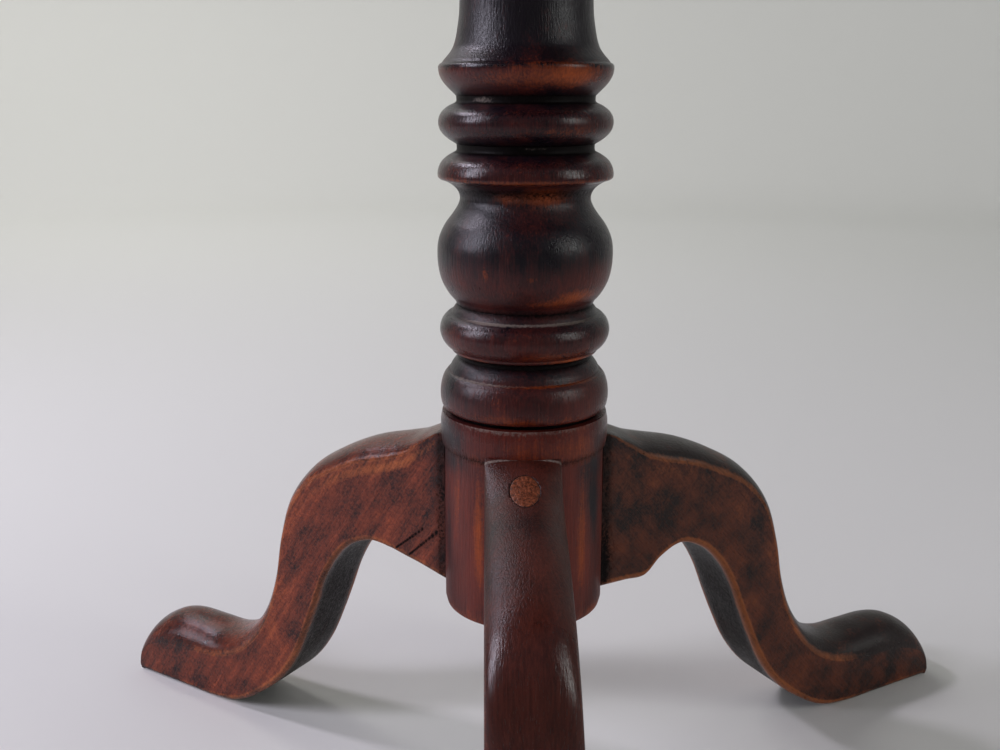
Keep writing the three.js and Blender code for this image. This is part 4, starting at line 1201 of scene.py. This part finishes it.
# %% Brass, iron and spring steel
def old_metal(name, bright, tarnish, polish, spread, grain=1.2):
    """Metal with a film of tarnish: cloudy noise picks between two tints and two roughnesses."""
    material, tree, shader = new_finish(name)
    here = add(tree, "TexCoord").outputs["Object"]
    film = add(
        tree, "TexNoise", {"Vector": here, "Scale": 1 / (9 * MM), "Detail": 7, "Roughness": 0.65}
    ).outputs["Fac"]
    pits = add(
        tree, "TexNoise",
        {"Vector": here, "Scale": 1 / (grain * MM), "Detail": 3, "Roughness": 0.6},
    ).outputs["Fac"]
    mask = add(tree, "MapRange", {"Value": film, 1: 0.38, 2: 0.66}).outputs[0]
    tint = add(
        tree, "Mix", {MIX: mask, FIRST: linear(bright), SECOND: linear(tarnish)}, data_type="RGBA"
    ).outputs[MIXED]
    rough = add(
        tree, "MapRange", {"Value": film, 1: 0.35, 2: 0.7, 3: polish, 4: polish + spread}
    ).outputs[0]
    bump = add(tree, "Bump", {"Height": pits, "Strength": 0.35, "Distance": 0.08 * MM}).outputs[0]
    shader.inputs["Metallic"].default_value = 1
    tree.links.new(tint, shader.inputs["Base Color"])
    tree.links.new(rough, shader.inputs["Roughness"])
    tree.links.new(bump, shader.inputs["Normal"])
    return material


brass = old_metal("tarnished_brass", "#d9a968", "#8a6038", 0.3, 0.2)
iron = old_metal("rusted_iron", "#57524e", "#51331f", 0.42, 0.3, grain=0.8)
spring_steel = old_metal("spring_steel", "#8d8f92", "#5a5148", 0.25, 0.2)
print("metals made")

# %% [markdown]
# ## Screws
#
# A slotted countersunk screw is turned, then sawn across its head. Its head is a flat disc with a
# hair of rounding at the rim, its neck is a cone, and its core tapers to a point. Screws of one
# size share one shape; each is driven home at its own angle, as a real one is.

# %% Slotted screws
rng = np.random.default_rng(11)
# head radius, shank radius and length of each kind
BEARER_SCREW, CATCH_SCREW = (4.6, 2.4, 33), (3.4, 1.7, 13)
KEEPER_SCREW, LEG_SCREW = (3, 1.5, 14), (5, 2.5, 42)


def screw(name, head, shank, length):
    """One screw about Z, head at z = 0 facing down, slot sawn across it."""
    cone = head - shank
    profile = [
        [0, 0], [head - 0.25, 0], [head, 0.2], [head, 0.5], [shank, 0.5 + cone],
        [shank, length - 3 * shank], [0, length],
    ]
    piece = turned(name, profile, 40)
    turn = float(rng.uniform(0, 180))
    slot = box("slot", (-head - 1, -0.13 * head, -1), (head + 1, 0.13 * head, head * 0.32))
    return moved(join_or_cut(piece, slot), spin("Z", turn))


spots_under_top = [(x, y) for x in (-BEARER["x"], BEARER["x"]) for y in SCREW_ROWS]
for i, (x, y) in enumerate(spots_under_top):
    piece = moved(screw(f"bearer_screw_{i + 1}_driven", *BEARER_SCREW), shift=(x, y, 669.7))
    place(piece, iron, "top", "iron", f"bearer_screw_{i + 1}")

catch_spots = [(x, y) for x in (-16.5, 16.5) for y in (-82, -122)]
for i, (x, y) in enumerate(catch_spots):
    piece = moved(screw(f"catch_screw_{i + 1}_driven", *CATCH_SCREW), shift=(x, y, 689.65))
    place(piece, brass, "top", "brass", f"catch_screw_{i + 1}")

for i, x in enumerate((-16, 16)):
    piece = screw(f"keeper_screw_{i + 1}_driven", *KEEPER_SCREW)
    moved(piece, spin("X", -90), (x, -70.05, 683.2))
    place(piece, brass, "base", "brass", f"keeper_screw_{i + 1}")

leg_screw = plug_line(screw("leg_screw_driven", *LEG_SCREW))
moved(leg_screw, spin("Z", LEGS["front"]["azimuth"]))
place(leg_screw, iron, "base", "iron", "leg_screw")

# %% [markdown]
# ## The catch
#
# Plates and case of the catch are small cast boxes whose size the joiner's solids already give to
# a tenth of a millimetre. Building them again would gain nothing, so a copy of each solid is
# merged, its file-sharp edges are eased with a bevel, and it takes the brass. The knob and the
# spring are round, and the solids' few flat sides would show, so these two are turned and coiled
# afresh.

# %% Brass plates, case and bolt
def eased_copy(node, name, width):
    """A merged copy of a CAD node with bevelled edges."""
    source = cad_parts[node]
    mesh = source.data.copy()
    shaped = bmesh.new()
    shaped.from_mesh(mesh)
    bmesh.ops.remove_doubles(shaped, verts=shaped.verts, dist=1e-6)
    bmesh.ops.dissolve_limit(
        shaped, angle_limit=np.radians(1), verts=shaped.verts, edges=shaped.edges
    )
    shaped.to_mesh(mesh)
    shaped.free()
    mesh.materials.clear()
    mesh.shade_smooth()
    mesh.set_sharp_from_angle(angle=np.radians(30))
    piece = bpy.data.objects.new(name, mesh)
    bpy.context.scene.collection.objects.link(piece)
    ease_edges(piece, width)
    return piece


for node, width, body in (
    ("catch_base", 0.35, "top"), ("catch_case", 0.5, "top"), ("catch_bolt", 0.3, "catch_bolt"),
    ("keeper_plate", 0.3, "base"),
):
    place(eased_copy(node, node + "_filed", width), brass, body, "brass", node)

# %% [markdown]
# The knob is a small turned button with a waist for the finger and thumb. The spring is a round
# wire carried along a helix: its centre goes round a circle while it moves on by one pitch a turn.

# %% Knob and spring
knob_profile = curve_through(
    [(0.01, 662.5), (3.2, 662.4), (5.6, 663), (6.5, 664.8), (6.2, 666.6), (4.4, 668.6),
     (3.8, 670.4), (4.3, 672.4), (5.2, 673.2)],
    np.linspace(0, 1, 60),
)
knob_profile = np.concatenate(
    [[[0, 662.5]], knob_profile, [[5.2, 674.4], [2.5, 674.4], [2.5, 684.3], [0, 684.3]]]
)
knob = turned("catch_knob_turned", knob_profile, 64, (0, -92.8))
place(knob, brass, "catch_bolt", "brass", "catch_knob")


def coil(name, start, end, radius, wire, turns, centre):
    """Tube of radius `wire` along a helix about Y: the section stands square to the path."""
    at = np.linspace(0, 1, int(turns * 40))
    angle = 2 * np.pi * turns * at
    x, z = centre
    path = np.stack(
        [x + radius * np.cos(angle), start + (end - start) * at, z + radius * np.sin(angle)], 1
    )
    ahead = np.gradient(path, axis=0)
    ahead /= np.linalg.norm(ahead, axis=1)[:, None]
    outward = np.stack([np.cos(angle), 0 * angle, np.sin(angle)], 1)
    beside = np.cross(ahead, outward)
    turn = np.linspace(0, 2 * np.pi, 12, endpoint=False)
    cosine, sine = np.cos(turn)[None, :, None], np.sin(turn)[None, :, None]
    ring = cosine * outward[:, None] + sine * beside[:, None]
    return skin(name, path[:, None] + wire * ring, path[0], path[-1])


spring = coil("catch_spring_coiled", -128.15, -105.65, 3.55, 0.55, 7, (0, 683.4))
place(spring, spring_steel, "top", "spring_steel", "catch_spring")

# %% [markdown]
# ## Studio
#
# The table stands in a round cove: a pale floor that curves up into a pale wall on every side, so
# that no horizon shows from anywhere. It could be a plane and a backdrop, but those end somewhere.

# %% Floor and cove
cove_marks = [
    (0.001, 0), (1500, 0), (2300, 0), (2900, 60), (3350, 500), (3450, 1200), (3450, 2600),
]
cove_line = curve_through(cove_marks, np.linspace(0, 1, 60))
cove_turn = np.linspace(0, 2 * np.pi, 96, endpoint=False)
cove_grid = np.stack(
    [cove_line[:, :1] * np.cos(cove_turn), cove_line[:, :1] * np.sin(cove_turn),
     cove_line[:, 1:] + 0 * cove_turn], axis=-1,
)
rings, around = cove_grid.shape[:2]
cell = np.arange(rings * around).reshape(rings, around)
cove_faces = np.stack(
    [cell[:-1], np.roll(cell[:-1], -1, 1), np.roll(cell[1:], -1, 1), cell[1:]], -1
).reshape(-1, 4)
cove_mesh = bpy.data.meshes.new("cove")
cove_mesh.from_pydata((cove_grid.reshape(-1, 3) * MM).tolist(), [], cove_faces.tolist())
cove_mesh.shade_smooth()
cove = bpy.data.objects.new("cove", cove_mesh)
bpy.context.scene.collection.objects.link(cove)

paper, paper_tree, paper_shader = new_finish("matt_studio_paper")
paper_shader.inputs["Base Color"].default_value = linear("#d3d4d0")
paper_shader.inputs["Roughness"].default_value = 0.9
paper_shader.inputs["Specular IOR Level"].default_value = 0.2
cove_mesh.materials.append(paper)

print("cove:", len(cove_mesh.polygons), "faces")

# %% [markdown]
# Two soft windows stand to the left and the right, a little in front, and a small one hangs
# high on the left, a little behind. Dark gloss shows its form only by what it mirrors, so the
# windows are what draws the rings of the column. Two more lamps light the wall behind, and the
# air of the room is a faint cool grey that fills the shadows.

# %% Lights
def soft_window(name, position, aim, size, power, tint):
    """A rectangular area light that faces a point."""
    light = bpy.data.lights.new(name, "AREA")
    light.shape = "RECTANGLE"
    light.size, light.size_y = size
    light.energy = power
    light.color = linear(tint)[:3]
    lamp = bpy.data.objects.new(name, light)
    lamp.location = position
    facing = np.array(aim) - np.array(position)
    lamp.rotation_euler = Vector(facing).to_track_quat("-Z", "Y").to_euler()
    bpy.context.scene.collection.objects.link(lamp)


soft_window("window_left", (-1.36, -0.3, 0.9), (0, 0, 0.28), (0.2, 0.9), 16, "#eae6f8")
soft_window("window_high", (-1.05, 0.35, 1.3), (-0.1, 0.05, 0.2), (0.16, 0.2), 8, "#ece4f6")
soft_window("window_right", (1.35, -0.62, 0.8), (0, 0, 0.3), (0.18, 0.8), 6, "#eef0ee")
soft_window("wall_wash_left", (-1.3, 1.5, 2.2), (-0.6, 3.4, 0.4), (1.4, 0.8), 38, "#fffdfb")
soft_window("wall_wash_right", (1.5, 1.5, 2.2), (0.9, 3.4, 0.4), (1.4, 0.8), 6, "#f6fcf0")

world = bpy.data.worlds.new("room")
world.use_nodes = True
bpy.context.scene.world = world
world.node_tree.nodes["Background"].inputs["Color"].default_value = linear("#dedae6")
world.node_tree.nodes["Background"].inputs["Strength"].default_value = 0.28
